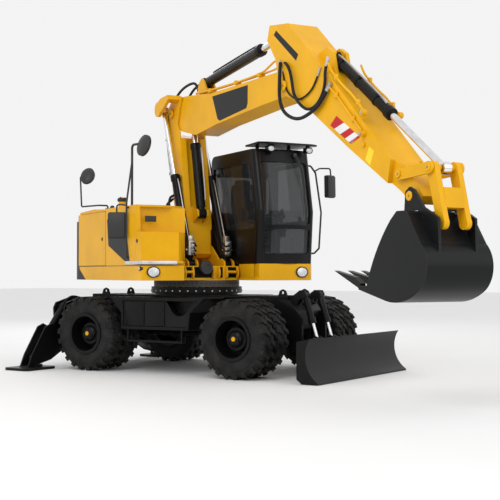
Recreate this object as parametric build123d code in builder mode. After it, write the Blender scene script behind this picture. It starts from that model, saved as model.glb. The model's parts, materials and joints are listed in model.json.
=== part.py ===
from build123d import *
from collections import namedtuple
from math import atan2, cos, degrees, hypot, radians, sin
import os

# A wheeled excavator with a two-piece boom, a front blade and rear stabilisers. Millimetres.
# Chassis pieces: X forward (blade end), Y left, Z up, origin on the ground under the slew axis.
# Upper pieces are drawn straight ahead in the same frame, and turned by slew_angle when written.

# ---- driving dimensions -------------------------------------------------------------------
slew_angle = 29.5            # the upper structure stands turned clockwise, seen from above

# wheels and axles
front_axle_x = 1450
wheelbase = 2480
tyre_radius = 520
tyre_width = 275
twin_gap = 50
machine_half_width = 1265    # over the outer tyres
lug_count = 22               # tread bars on each shoulder of a tyre
lug_height = 24
lug_width = 62
lug_lean = 55                # how far a bar leans round the tyre from its middle to its shoulder
rim_radius = 258
rim_wall = 14
hub_radius = 165
hub_face = 60                # how far the hub face lies inside the outer tyre
axle_tube_radius = 85
differential_radius = 185
spindle_radius = 60
kingpin_y = 750
kingpin_radius = 30
running_gap = 0.05           # radial clearance of pins and rods
side_gap = 6                 # clearance between pieces that move past each other

# chassis
frame_half_width = 330
frame_bottom = 640
frame_top = 1060
frame_front = 1730
frame_rear = -1700
lug_bore = 22
box_inner_y = 640            # tool boxes between the axles
box_outer_y = 1150
pocket_depth = 25            # sunk panels of the tool boxes
step_depth = 160

# slew ring
ring_radius = 655
ring_bottom = 1085
ring_joint = 1180
upper_bottom = 1270

# blade
blade_pivot = (1860, 360)
blade_half_width = machine_half_width
blade_lift_head = (1930, 1080)
blade_lift_eye = (2120, 470)
blade_arm_y = 396
blade_ram_y = 200

# stabilisers
leg_x = -1830                # middle of the leg
leg_width = 170
leg_pivot = (-760, 430)      # y, z of the right leg
leg_ram_head = (-830, 880)
leg_ram_foot = (-1460, 165)
pad_size = (450, 600, 36)

# upper structure
upper_half_width = 1245
seam_height = 1470
hood_top = 2290
tail_x = -2130
housing_rear = -1640
bulkhead_x = -560
wing_front = -1290           # front tip of the counterweight's lower wings
wing_inner = 1000            # inner face of the deck's edge beams and of the wings
wing_gap = 4
beam_front = 1235            # front of the beam round the cab's foot
door_front = -410             # front edge of the right service door
wall = 40
door_depth = 49
louvre_pitch = 46

# cab
cab_rear = -300
cab_front = 1240             # at the waist
cab_bulge = 70
cab_right = 380
cab_left = 1265
cab_corner = 120
cab_mount = 30
cab_floor = seam_height + cab_mount
cab_waist = 2230             # the cab's nose is furthest forward at this height
cab_roof = 3100
cab_top_setback = 175        # how far the nose stands back at the roof and at the floor
cab_foot_setback = 60
cab_wall = 50
roof_round = 110
visor_rise = 50
rail_radius = 13

# boom and arm joints, side view (x, z)
boom_foot = (0, 1700)
knuckle = (-420, 3730)
dipper_pivot = (2980, 3620)
bucket_hinge = (5530, 2133)
lever_pivot = (5295, 2371)
link_top = (5783, 2398)
link_bottom = (5935, 1853)
pin_radius = 38

# widths of the arm, half values
boom_inner = 186             # inside the forks
boom_outer = 208             # outside the forks
upper_boom_half = 180
plate = boom_outer - boom_inner
dipper_half = boom_outer

# hydraulic rams: foot and rod pins in side view, the middles of the rams across the machine,
# tube and rod radii, tube length from the foot pin, rod length inside the tube, eye radius and width
Ram = namedtuple("Ram", "foot rod_pin sides tube rod length inside eye eye_width")
lift_ram = Ram((400, 1500), (-557, 3800), (286, -286), 62, 38, 1390, 330, 66, 96)
positioning_ram = Ram((160, 2225), (-100, 3500), (0,), 68, 42, 1050, 560, 70, 110)
dipper_ram = Ram((343, 4087), (2640, 4320), (0,), 70, 42, 1675, 960, 70, 100)
bucket_ram = Ram((3783, 3846), link_top, (0,), 62, 38, 1376, 280, 66, 90)
blade_ram = Ram(blade_lift_head, blade_lift_eye, (blade_ram_y, -blade_ram_y), 44, 26, 400, 195, 42, 58)


# ---- helpers ------------------------------------------------------------------------------
def save(part, label, slewed=False):
    """Write one piece under its name, turned with the upper structure if it belongs to it."""
    placed = part.rotate(Axis.Z, -slew_angle) if slewed else part
    placed.label = label
    export_step(placed, f"parts/{label}.step")


def side(y=0):
    """Side-view plane at y: sketch x is X, sketch y is Z, and it extrudes to the right (-Y)."""
    return Plane.XZ.offset(-y)


def front(x=0):
    """Front-view plane at x: sketch x is Y, sketch y is Z, and it extrudes forward (+X)."""
    return Plane(origin=(x, 0, 0), x_dir=(0, 1, 0), z_dir=(1, 0, 0))


def level(z=0):
    """Plan-view plane at z."""
    return Plane.XY.offset(z)


def pair(value):
    """The left and right values."""
    return (value, -value)


def reach(start, end):
    """Distance between two points of the side view."""
    return hypot(end[0] - start[0], end[1] - start[1])


def ram_plane(ram, y):
    """Plane at the ram's foot pin whose normal runs to the rod pin."""
    run = (ram.rod_pin[0] - ram.foot[0], 0, ram.rod_pin[1] - ram.foot[1])
    return Plane(origin=(ram.foot[0], y, ram.foot[1]), x_dir=(0, 1, 0), z_dir=run)


def beside(ram, distance, offset):
    """Point of the side view at a distance along the ram from its foot pin, and offset above its axis."""
    length = reach(ram.foot, ram.rod_pin)
    ux, uz = (ram.rod_pin[0] - ram.foot[0]) / length, (ram.rod_pin[1] - ram.foot[1]) / length
    return (ram.foot[0] + distance * ux - offset * uz, ram.foot[1] + distance * uz + offset * ux)


def ram_barrels(ram, foot_bore=pin_radius):
    """Tubes with gland heads and bored feet, one for each side the ram stands on."""
    gland = 75
    with BuildPart() as barrels:
        for y in ram.sides:
            base = ram_plane(ram, y)
            with BuildSketch(base):
                Circle(ram.eye_width / 2 - 2)
            extrude(amount=ram.eye * 1.6)
            with BuildSketch(base.offset(ram.eye * 1.4)):
                Circle(ram.tube)
            extrude(amount=ram.length - ram.eye * 1.4)
            with BuildSketch(base.offset(ram.length - gland)):
                Circle(ram.tube + 10)
            extrude(amount=gland)
            with BuildSketch(side(y + ram.eye_width / 2)):
                with Locations(ram.foot):
                    Circle(ram.eye)
            extrude(amount=ram.eye_width)
            with BuildSketch(base.offset(ram.eye * 1.7)):
                Circle(ram.rod + running_gap)
            extrude(amount=ram.length, mode=Mode.SUBTRACT)
            with BuildSketch(side(y + ram.eye_width)):
                with Locations(ram.foot):
                    Circle(foot_bore + running_gap)
            extrude(amount=2 * ram.eye_width, mode=Mode.SUBTRACT)
    return barrels.part


def ram_rods(ram):
    """Rods with a round eye at their free end."""
    stroke_end = reach(ram.foot, ram.rod_pin)
    with BuildPart() as rods:
        for y in ram.sides:
            base = ram_plane(ram, y)
            with BuildSketch(base.offset(ram.length - ram.inside)):
                Circle(ram.rod)
            extrude(amount=stroke_end - ram.length + ram.inside - ram.eye * 0.6)
            with BuildSketch(side(y + ram.eye_width / 2)):
                with Locations(ram.rod_pin):
                    Circle(ram.eye)
            extrude(amount=ram.eye_width)
    return rods.part


def pins(centre, radius, left, right):
    """Cross pin added to the open part builder, from y left to y right."""
    with BuildSketch(side(left)) as profile:
        with Locations(centre):
            Circle(radius)
    extrude(profile.sketch, amount=left - right)


def bores(centre, radius, half_width):
    """Cross bore cut from the open part builder."""
    with BuildSketch(side(half_width)) as profile:
        with Locations(centre):
            Circle(radius + running_gap)
    extrude(profile.sketch, amount=2 * half_width, mode=Mode.SUBTRACT)


# ---- chassis ------------------------------------------------------------------------------
def chassis_frame():
    rear_axle_x = front_axle_x - wheelbase
    carrier_inner = 300
    carrier_outer = 340
    with BuildPart() as frame:
        with BuildSketch(side(frame_half_width)):
            Polygon((frame_rear, frame_bottom + 60), (frame_rear + 150, frame_bottom), (-700, frame_bottom),
                    (-560, frame_bottom - 80), (900, frame_bottom - 80), (1010, frame_bottom),
                    (frame_front, frame_bottom), (frame_front, frame_top), (frame_rear, frame_top), align=None)
        extrude(amount=2 * frame_half_width)
        # arches over the two differentials
        for x in (front_axle_x, rear_axle_x):
            with BuildSketch(side(frame_half_width)):
                with Locations((x, tyre_radius)):
                    Circle(differential_radius + 15)
            extrude(amount=2 * frame_half_width, mode=Mode.SUBTRACT)
        # wide centre plate that carries the slew ring and the tool boxes
        with BuildSketch(level(frame_top - 20)):
            Polygon((-1000, -box_inner_y), (900, -box_inner_y), (1100, -frame_half_width),
                    (1100, frame_half_width), (900, box_inner_y), (-1000, box_inner_y),
                    (-1150, frame_half_width), (-1150, -frame_half_width), align=None)
        extrude(amount=20)
        with BuildSketch(level(frame_top)):
            Circle(ring_radius - 60)
            Circle(ring_radius - 140, mode=Mode.SUBTRACT)
        extrude(amount=ring_bottom - frame_top)
        # gussets out to the tool boxes
        for x in (-380, 330):
            with BuildSketch(side(box_inner_y)):
                with Locations((x, 880)):
                    Rectangle(60, 2 * (frame_top - 20 - 880))
            extrude(amount=2 * box_inner_y)
        # blade carrier: two side plates, a front plate and the lugs of the blade rams
        with BuildSketch(side(carrier_outer)):
            Polygon((1600, frame_top - 60), (frame_front + 40, frame_top - 60), (1960, 760), (1960, 330),
                    (1900, 260), (1800, 260), (frame_front, 420), (frame_front, frame_bottom + 10),
                    (1600, frame_bottom + 10), align=None)
        extrude(amount=2 * carrier_outer)
        with BuildSketch(side(carrier_inner)):
            Polygon((frame_front, 250), (2000, 250), (2000, 860), (1880, 860), (1850, 620), (frame_front, 620),
                    align=None)
        extrude(amount=2 * carrier_inner, mode=Mode.SUBTRACT)
        for y in pair(blade_ram_y):
            for gap in (blade_ram.eye_width / 2 + side_gap, -blade_ram.eye_width / 2 - side_gap - 24):
                with BuildSketch(side(y + gap + 24)):
                    Polygon((frame_front - 40, frame_top - 20), (frame_front - 40, 900), (frame_front + 60, 900),
                            (1870, 1020), (1950, 1030), (1980, 1080), (1950, 1135), (1880, 1140),
                            (1780, frame_top + 10), (frame_front - 40, frame_top + 10), align=None)
                extrude(amount=24)
            pins(blade_ram.foot, 22, y + blade_ram.eye_width / 2 + side_gap + 30,
                 y - blade_ram.eye_width / 2 - side_gap - 30)
        for left, right in ((blade_arm_y + 8, carrier_inner), (-carrier_inner, -blade_arm_y - 8)):
            pins(blade_pivot, 30, left, right)
        # lifting and tie-down lugs
        for x in (-1465, 1640):
            for y in pair(290):
                with BuildSketch(side(y + 15)):
                    Polygon((x - 70, frame_top - 2), (x + 70, frame_top - 2), (x + 45, frame_top + 70),
                            (x, frame_top + 92), (x - 45, frame_top + 70), align=None)
                extrude(amount=30)
                with BuildSketch(side(y + 20)):
                    with Locations((x, frame_top + 45)):
                        Circle(lug_bore)
                extrude(amount=40, mode=Mode.SUBTRACT)
    return frame.part


def tool_boxes():
    """Boxes between the wheels, with slanted ends that clear the tyres and a step pocket in each face."""
    back, front_end = rear_axle_x, front_axle_x
    with BuildPart() as boxes:
        for y in (box_outer_y, -box_inner_y):
            with BuildSketch(side(y)):
                Polygon((back + 390, 1010), (back + 567, 815), (back + 550, 595), (front_end - 764, 600),
                        (front_end - 731, 840), (front_end - 520, 1016), (front_end - 520, 1040),
                        (back + 390, 1040), align=None)
            extrude(amount=box_outer_y - box_inner_y)
        for y in (box_outer_y + 1, -box_outer_y + pocket_depth):
            # sunk panel inside the box's rim
            with BuildSketch(side(y)):
                Polygon((back + 590, 990), (back + 605, 820), (back + 600, 640), (front_end - 800, 645),
                        (front_end - 770, 850), (front_end - 610, 990), align=None)
            extrude(amount=pocket_depth + 1, mode=Mode.SUBTRACT)
        for y in (box_outer_y - pocket_depth + 1, -box_outer_y + pocket_depth + step_depth):
            with BuildSketch(side(y)):
                with BuildLine():
                    Polyline((front_end - 1150, 990), (front_end - 1050, 850))
                    ThreePointArc((front_end - 1050, 850), (front_end - 930, 795), (front_end - 810, 850))
                    Polyline((front_end - 810, 850), (front_end - 690, 990), (front_end - 1150, 990))
                make_face()
            extrude(amount=step_depth + 1, mode=Mode.SUBTRACT)
    return boxes.part


def slew_ring():
    """Fixed lower half of the slew bearing."""
    with BuildPart() as ring:
        with BuildSketch(level(ring_bottom)):
            Circle(ring_radius)
            Circle(ring_radius - 120, mode=Mode.SUBTRACT)
        extrude(amount=ring_joint - ring_bottom - 3)
    return ring.part


def axle(x, steered):
    """Axle housing with its differential; a steered one ends in forks round the kingpins."""
    end = kingpin_y - 190
    with BuildPart() as housing:
        with BuildSketch(Plane(origin=(x, 0, tyre_radius), x_dir=(0, 1, 0), z_dir=(1, 0, 0))):
            Polygon((-end, 0), (-end, axle_tube_radius), (-230, axle_tube_radius),
                    (-90, differential_radius), (90, differential_radius), (230, axle_tube_radius),
                    (end, axle_tube_radius), (end, 0), align=None)
        revolve(axis=Axis((x, 0, tyre_radius), (0, 1, 0)), revolution_arc=360)
        # saddles up to the frame
        for y in pair(260):
            with BuildSketch(side(y + 40)):
                with Locations((x, (tyre_radius + frame_bottom) / 2)):
                    Rectangle(150, frame_bottom - tyre_radius)
            extrude(amount=80)
            with BuildSketch(side(y + 60)):
                with Locations((x, tyre_radius)):
                    Circle(axle_tube_radius + 0.01)
            extrude(amount=120)
        for s in (1, -1):
            if steered:
                for z in (tyre_radius + 105, tyre_radius - 150):
                    with BuildSketch(level(z)):
                        with Locations((x, s * (end + kingpin_y) / 2)):
                            Rectangle(100, kingpin_y - end)
                        with Locations((x, s * kingpin_y)):
                            Circle(50)
                    extrude(amount=45)
                with BuildSketch(side(s * end + 40)):
                    with Locations((x, tyre_radius)):
                        Rectangle(100, 300)
                extrude(amount=80)
            else:
                with BuildSketch(side(s * (end + 120) + 120)):
                    with Locations((x, tyre_radius)):
                        Circle(120)
                extrude(amount=240)
                with BuildSketch(side(s * (end + 330) + 100)):
                    with Locations((x, tyre_radius)):
                        Circle(spindle_radius)
                extrude(amount=200)
        if steered:
            for s in (1, -1):
                with BuildSketch(level(tyre_radius - 160)):
                    with Locations((x, s * kingpin_y)):
                        Circle(kingpin_radius)
                extrude(amount=320)
    return housing.part


def knuckle_piece(s):
    """Steering knuckle on its kingpin with the wheel spindle; s is the side."""
    x = front_axle_x
    with BuildPart() as piece:
        with BuildSketch(level(tyre_radius - 99)):
            with Locations((x, s * kingpin_y)):
                Circle(62)
        extrude(amount=198)
        with BuildSketch(side(s * (kingpin_y + 45) + 25)):
            with Locations((x, tyre_radius)):
                Circle(85)
        extrude(amount=50)
        with BuildSketch(side(s * 880 + 110)):
            with Locations((x, tyre_radius)):
                Circle(spindle_radius)
        extrude(amount=220)
        with BuildSketch(level(tyre_radius - 120)):
            with Locations((x, s * kingpin_y)):
                Circle(kingpin_radius + running_gap)
        extrude(amount=240, mode=Mode.SUBTRACT)
    return piece.part


def wheel(x, s):
    """Twin rims on one hub, bored for the spindle."""
    outer = machine_half_width
    inner = machine_half_width - 2 * tyre_width - twin_gap
    split = (outer + inner) / 2
    face = outer - hub_face
    centre = (x, 0, tyre_radius)
    with BuildPart() as piece:
        with BuildSketch(Plane(origin=centre, x_dir=(0, 1, 0), z_dir=(1, 0, 0))):
            # rims, disc and hub in one section: y outward, then radius
            Polygon((s * inner, rim_radius - rim_wall), (s * outer, rim_radius - rim_wall),
                    (s * outer, rim_radius + 28), (s * (outer - 12), rim_radius + 28), (s * (outer - 12), rim_radius),
                    (s * (inner + 12), rim_radius), (s * (inner + 12), rim_radius + 28),
                    (s * inner, rim_radius + 28), align=None)
            Polygon((s * (split - 14), 0), (s * (split + 14), 0), (s * (split + 14), rim_radius),
                    (s * (split - 14), rim_radius), align=None)
            Polygon((s * 830, 0), (s * (face - 60), 0), (s * (face - 60), 150), (s * 1010, hub_radius),
                    (s * 830, hub_radius), align=None)
            Polygon((s * (face - 60), 0), (s * face, 0), (s * face, 40), (s * (face - 30), 95),
                    (s * (face - 60), 110), align=None)
        revolve(axis=Axis(centre, (0, 1, 0)), revolution_arc=360)
        with BuildSketch(side(s * 900 + 100)):
            with Locations((x, tyre_radius)):
                Circle(spindle_radius + running_gap)
        extrude(amount=200, mode=Mode.SUBTRACT)
    return piece.part


def tyre():
    """One tyre about the Y axis: a closed casing with slanted bars on both shoulders."""
    half = tyre_width / 2
    bead = rim_radius + 0.5
    tread = tyre_radius - lug_height
    with BuildPart() as casing:
        with BuildSketch(front()):
            Polygon((-half + 32, bead), (-half + 12, bead + 40), (-half + 2, bead + 120), (-half + 8, tread - 30),
                    (-half + 36, tread), (half - 36, tread), (half - 8, tread - 30), (half - 2, bead + 120),
                    (half - 12, bead + 40), (half - 32, bead), align=None)
        revolve(axis=Axis.Y, revolution_arc=360)
        for shoulder in (1, -1):
            for step in range(lug_count):
                turn = 360 / lug_count * (step + (0.5 if shoulder < 0 else 0))
                outward = Plane.XZ.rotated((0, turn, 0))
                across = Plane(origin=outward.z_dir * 0, x_dir=outward.x_dir, z_dir=Vector(0, shoulder, 0))
                with BuildSketch(across.offset(8)):
                    Polygon((tread - 20, -lug_width / 2), (tyre_radius, -lug_width / 2), (tyre_radius, lug_width / 2),
                            (tread - 20, lug_width / 2), align=None)
                with BuildSketch(across.offset(half - 30)):
                    Polygon((tread - 20, lug_lean - lug_width / 2), (tyre_radius - 4, lug_lean - lug_width / 2),
                            (tyre_radius - 4, lug_lean + lug_width / 2), (tread - 20, lug_lean + lug_width / 2),
                            align=None)
                with BuildSketch(across.offset(half)):
                    Polygon((tread - 60, lug_lean - lug_width / 2), (tyre_radius - 14, lug_lean - lug_width / 2),
                            (tyre_radius - 14, lug_lean + lug_width / 2), (tread - 60, lug_lean + lug_width / 2),
                            align=None)
                loft(ruled=True)
        with BuildSketch(side(half + 10)):
            Circle(tyre_radius)
        extrude(amount=tyre_width + 20, mode=Mode.INTERSECT)
    return casing.part


def tyres(x, s, casing):
    """A pair of tyres on one wheel."""
    half = tyre_width / 2
    with BuildPart() as piece:
        for middle in (machine_half_width - half, machine_half_width - 3 * half - twin_gap):
            with Locations((x, s * middle, tyre_radius)):
                add(casing)
    return piece.part


def drive_shafts():
    """Gearbox on the frame's middle with the shafts to both axles."""
    rear_axle_x = front_axle_x - wheelbase
    z = tyre_radius - 20
    gearbox = 300
    with BuildPart() as line:
        with BuildSketch(level(tyre_radius - 170)):
            with Locations((gearbox, 0)):
                RectangleRounded(360, 320, 40)
        extrude(amount=frame_bottom - 80 - (tyre_radius - 170))
        for start, end in ((rear_axle_x + differential_radius + 6, gearbox - 170),
                           (gearbox + 170, front_axle_x - differential_radius - 6)):
            with BuildSketch(Plane(origin=(start, 0, z), x_dir=(0, 1, 0), z_dir=(1, 0, 0))):
                Circle(42)
            extrude(amount=end - start)
            for x in (start, end - 60):
                with BuildSketch(Plane(origin=(x, 0, z), x_dir=(0, 1, 0), z_dir=(1, 0, 0))):
                    Circle(55)
                extrude(amount=60)
    return line.part


def blade():
    """Dozer blade with its arms and the ears of its rams."""
    back = 2420
    with BuildPart() as piece:
        with BuildSketch(side(blade_half_width)):
            with BuildLine():
                Polyline((2610, 560), (back, 520), (back, 60), (2500, 2), (2730, 2), (2722, 26))
                ThreePointArc((2722, 26), (2560, 250), (2610, 560))
            make_face()
        extrude(amount=2 * blade_half_width)
        with BuildSketch(side(blade_half_width - 30)):
            with BuildLine():
                Polyline((2570, 540), (back - 5, 500), (back - 5, 90), (2500, 45), (2640, 45))
                ThreePointArc((2640, 45), (2520, 250), (2570, 540))
            make_face()
        extrude(amount=2 * blade_half_width - 60, mode=Mode.SUBTRACT)
        for y in (blade_arm_y, -blade_arm_y + 44, 62, -18):
            with BuildSketch(side(y)):
                Polygon((back - 4, 90), (2520, 90), (2520, 480), (back - 4, 480), align=None)
            extrude(amount=44)
        for y in pair(blade_arm_y - 22):
            with BuildSketch(side(y + 22)):
                Polygon((1800, 330), (1830, 300), (back + 20, 120), (back + 20, 460), (2150, 520), (1850, 425),
                        (1800, 400), align=None)
                with Locations(blade_pivot):
                    Circle(75)
            extrude(amount=44)
        # cross box between the arms, carrying the ears of the rams
        with BuildSketch(side(blade_arm_y - 30)):
            Polygon((2060, 250), (back + 20, 200), (back + 20, 400), (2060, 370), align=None)
        extrude(amount=2 * blade_arm_y - 60)
        for y in pair(blade_ram_y):
            for gap in (blade_ram.eye_width / 2 + side_gap, -blade_ram.eye_width / 2 - side_gap - 24):
                with BuildSketch(side(y + gap + 24)):
                    Polygon((2070, 330), (2230, 330), (2190, 500), (2120, 535), (2060, 500), align=None)
                extrude(amount=24)
        bores(blade_pivot, 30, 600)
    return piece.part


def mirror_y(point, s):
    """A point (y, z) of the right leg, given for side s."""
    return (-s * point[0], point[1])


def stabiliser_leg(s):
    """Leg of two plates with a foot pad; its ram lies between the plates."""
    half = leg_width / 2
    sheet = 22
    outline = ((-700, 360), (-1180, 120), (-1420, 70), (-1640, 40), (-1560, 210), (-1290, 600), (-1180, 640),
               (-1000, 560), (-820, 520), (-700, 490))
    with BuildPart() as leg:
        for x in (leg_x - half, leg_x + half - sheet):
            with BuildSketch(front(x)):
                Polygon(*[mirror_y(p, s) for p in outline], align=None)
                with Locations(mirror_y(leg_pivot, s)):
                    Circle(85)
            extrude(amount=sheet)
        with BuildSketch(front(leg_x - half)):
            Polygon(*[mirror_y(p, s) for p in ((-760, 352), (-1180, 120), (-1330, 92), (-1300, 120),
                                               (-1170, 150), (-820, 345))], align=None)
        extrude(amount=leg_width)
        with BuildSketch(level(2)):
            with Locations((leg_x, s * 1510)):
                RectangleRounded(pad_size[0], pad_size[1], 60)
        extrude(amount=pad_size[2])
        with BuildSketch(front(leg_x - half)):
            Polygon(*[mirror_y(p, s) for p in ((-1350, 36), (-1660, 36), (-1640, 50), (-1350, 70))], align=None)
        extrude(amount=leg_width)
        with BuildSketch(front(leg_x - 200)):
            with Locations(mirror_y(leg_pivot, s)):
                Circle(32 + running_gap)
        extrude(amount=400, mode=Mode.SUBTRACT)
    return leg.part


def stabiliser_plane(s):
    """Plane at the ram's head pin with its normal towards the foot pin."""
    head = mirror_y(leg_ram_head, s)
    foot = mirror_y(leg_ram_foot, s)
    return Plane(origin=(leg_x, head[0], head[1]), x_dir=(1, 0, 0), z_dir=(0, foot[0] - head[0], foot[1] - head[1]))


leg_ram_tube = 50
leg_ram_rod = 32
leg_ram_barrel = 520
leg_ram_inside = 80
leg_ram_eye = 44
leg_ram_eye_width = 60


def stabiliser_barrel(s):
    head = mirror_y(leg_ram_head, s)
    base = stabiliser_plane(s)
    with BuildPart() as barrel:
        with BuildSketch(base.offset(30)):
            Circle(leg_ram_tube)
        extrude(amount=leg_ram_barrel - 30)
        with BuildSketch(front(leg_x - leg_ram_eye_width / 2)):
            with Locations(head):
                Circle(leg_ram_eye)
        extrude(amount=leg_ram_eye_width)
        with BuildSketch(base.offset(70)):
            Circle(leg_ram_rod + running_gap)
        extrude(amount=leg_ram_barrel, mode=Mode.SUBTRACT)
        with BuildSketch(front(leg_x - leg_ram_eye_width)):
            with Locations(head):
                Circle(25 + running_gap)
        extrude(amount=2 * leg_ram_eye_width, mode=Mode.SUBTRACT)
    return barrel.part


def stabiliser_rod(s):
    foot = mirror_y(leg_ram_foot, s)
    base = stabiliser_plane(s)
    length = reach(leg_ram_head, leg_ram_foot)
    with BuildPart() as rod:
        with BuildSketch(base.offset(leg_ram_barrel - leg_ram_inside)):
            Circle(leg_ram_rod)
        extrude(amount=length - leg_ram_barrel + leg_ram_inside - 30)
        with BuildSketch(front(leg_x - leg_ram_eye_width / 2)):
            with Locations(foot):
                Circle(leg_ram_eye)
        extrude(amount=leg_ram_eye_width)
    return rod.part


def stabiliser_frame():
    """Cross beam at the frame's rear with the clevises of the legs and their rams."""
    half = leg_width / 2 + side_gap
    sheet = 24
    with BuildPart() as beam:
        for x in (leg_x - half - sheet, leg_x + half):
            with BuildSketch(front(x)):
                Polygon((-860, 340), (-700, 300), (700, 300), (860, 340), (900, 440), (930, 860), (880, 940),
                        (600, 1010), (-600, 1010), (-880, 940), (-930, 860), (-900, 440), align=None)
            extrude(amount=sheet)
        with BuildSketch(front(leg_x - half)):
            Polygon((-560, 320), (560, 320), (560, 990), (-560, 990), align=None)
        extrude(amount=frame_rear - leg_x + half)
        for s in (1, -1):
            for point, radius in ((leg_pivot, 32), (leg_ram_head, 25)):
                with BuildSketch(front(leg_x - half - sheet - 8)):
                    with Locations(mirror_y(point, s)):
                        Circle(radius)
                extrude(amount=2 * (half + sheet + 8))
    return beam.part


# ---- upper structure ----------------------------------------------------------------------
def upper_deck():
    """Turning deck with the boom brackets, the boom pins and the cab's base beam."""
    with BuildPart() as deck:
        with BuildSketch(level(upper_bottom)):
            Polygon((housing_rear, -upper_half_width), (950, -upper_half_width), (950, -620), (600, -620),
                    (600, cab_right), (beam_front - 50, cab_right), (beam_front, cab_right + 40), (beam_front, 1120),
                    (beam_front - 30, 1200), (beam_front - 110, cab_left), (cab_rear, cab_left),
                    (cab_rear, upper_half_width), (housing_rear, upper_half_width), align=None)
        extrude(amount=40)
        # edge beams, one each side, and the cross beams
        for (x0, y0), (x1, y1) in (((housing_rear, -upper_half_width), (950, -wing_inner)),
                                   ((housing_rear, wing_inner), (cab_rear, upper_half_width)),
                                   ((housing_rear, -wing_inner), (housing_rear + 120, wing_inner)),
                                   ((820, -wing_inner), (950, -620)), ((480, -620), (600, cab_right))):
            with BuildSketch(level(upper_bottom + 40)):
                Polygon((x0, y0), (x1, y0), (x1, y1), (x0, y1), align=None)
            extrude(amount=seam_height - upper_bottom - 40)
        # the beam round the cab's foot reaches up to its floor
        with BuildSketch(level(upper_bottom + 40)):
            Polygon((cab_rear, 1000), (beam_front - 180, 1000), (beam_front - 180, 390), (beam_front - 40, 390),
                    (beam_front, 430), (beam_front, 1120), (beam_front - 30, 1200), (beam_front - 110, cab_left),
                    (cab_rear, cab_left), align=None)
        extrude(amount=cab_floor - upper_bottom - 40)
        # the beam round the tank's foot turns under at the tail, where the counterweight wraps it
        with BuildSketch(side(upper_half_width + 10)):
            Polygon(*wing_outline(wing_gap), align=None)
        extrude(amount=upper_half_width + 10 - wing_inner, mode=Mode.SUBTRACT)
        with BuildSketch(side(-wing_inner)):
            Polygon(*wing_outline(wing_gap), align=None)
        extrude(amount=upper_half_width + 10 - wing_inner, mode=Mode.SUBTRACT)
        with BuildSketch(level(ring_joint)):
            Circle(ring_radius - 40)
        extrude(amount=upper_bottom - ring_joint)
        # boom brackets: the outer pair holds the lift rams, the inner pair the boom too
        for y0, y1, inner in ((366, 342, False), (226, 197, True), (-197, -226, True), (-342, -366, False)):
            with BuildSketch(side(y0)):
                if inner:
                    Polygon((-330, upper_bottom + 40), (560, upper_bottom + 40), (480, 1540), (400, 1575),
                            (320, 1560), (90, 1740), (0, 1790), (-90, 1750), (-300, 1420), align=None)
                else:
                    Polygon((150, upper_bottom + 40), (560, upper_bottom + 40), (480, 1540), (400, 1575),
                            (320, 1540), align=None)
            extrude(amount=y0 - y1)
        pins(boom_foot, 50, 240, -240)
        for left, right in ((372, 197), (-197, -372)):
            pins(lift_ram.foot, pin_radius, left, right)
    return deck.part


def wing_outline(gap):
    """Side view of the counterweight's lower wings, which sweep forward under the doors."""
    return ((housing_rear - 30, upper_bottom - gap), (wing_front + 3 * gap, upper_bottom - gap),
            (housing_rear + 80 + gap, seam_height - 50), (housing_rear + 40 + gap, seam_height + gap),
            (housing_rear - 30, seam_height + gap))


def counterweight():
    with BuildPart() as weight:
        with BuildSketch(level(upper_bottom)):
            with BuildLine():
                Polyline((housing_rear - 3, -upper_half_width + 15), (-1750, -upper_half_width + 20))
                ThreePointArc((-1750, -upper_half_width + 20), (-1990, -1090), (-2080, -800))
                ThreePointArc((-2080, -800), (tail_x, 0), (-2080, 800))
                ThreePointArc((-2080, 800), (-1990, 1090), (-1750, upper_half_width - 20))
                Polyline((-1750, upper_half_width - 20), (housing_rear - 3, upper_half_width - 15),
                         (housing_rear - 3, -upper_half_width + 15))
            make_face()
        extrude(amount=2160 - upper_bottom)
        for left, right in ((upper_half_width - 15, wing_inner + 3), (-wing_inner - 3, -upper_half_width + 15)):
            with BuildSketch(side(left)):
                Polygon(*wing_outline(0), align=None)
            extrude(amount=left - right)
        # drawbar pocket and pin in the tail's middle
        with BuildSketch(level(upper_bottom + 150)):
            with Locations((tail_x, 0)):
                Rectangle(240, 300)
        extrude(amount=140, mode=Mode.SUBTRACT)
    return weight.part


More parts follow.
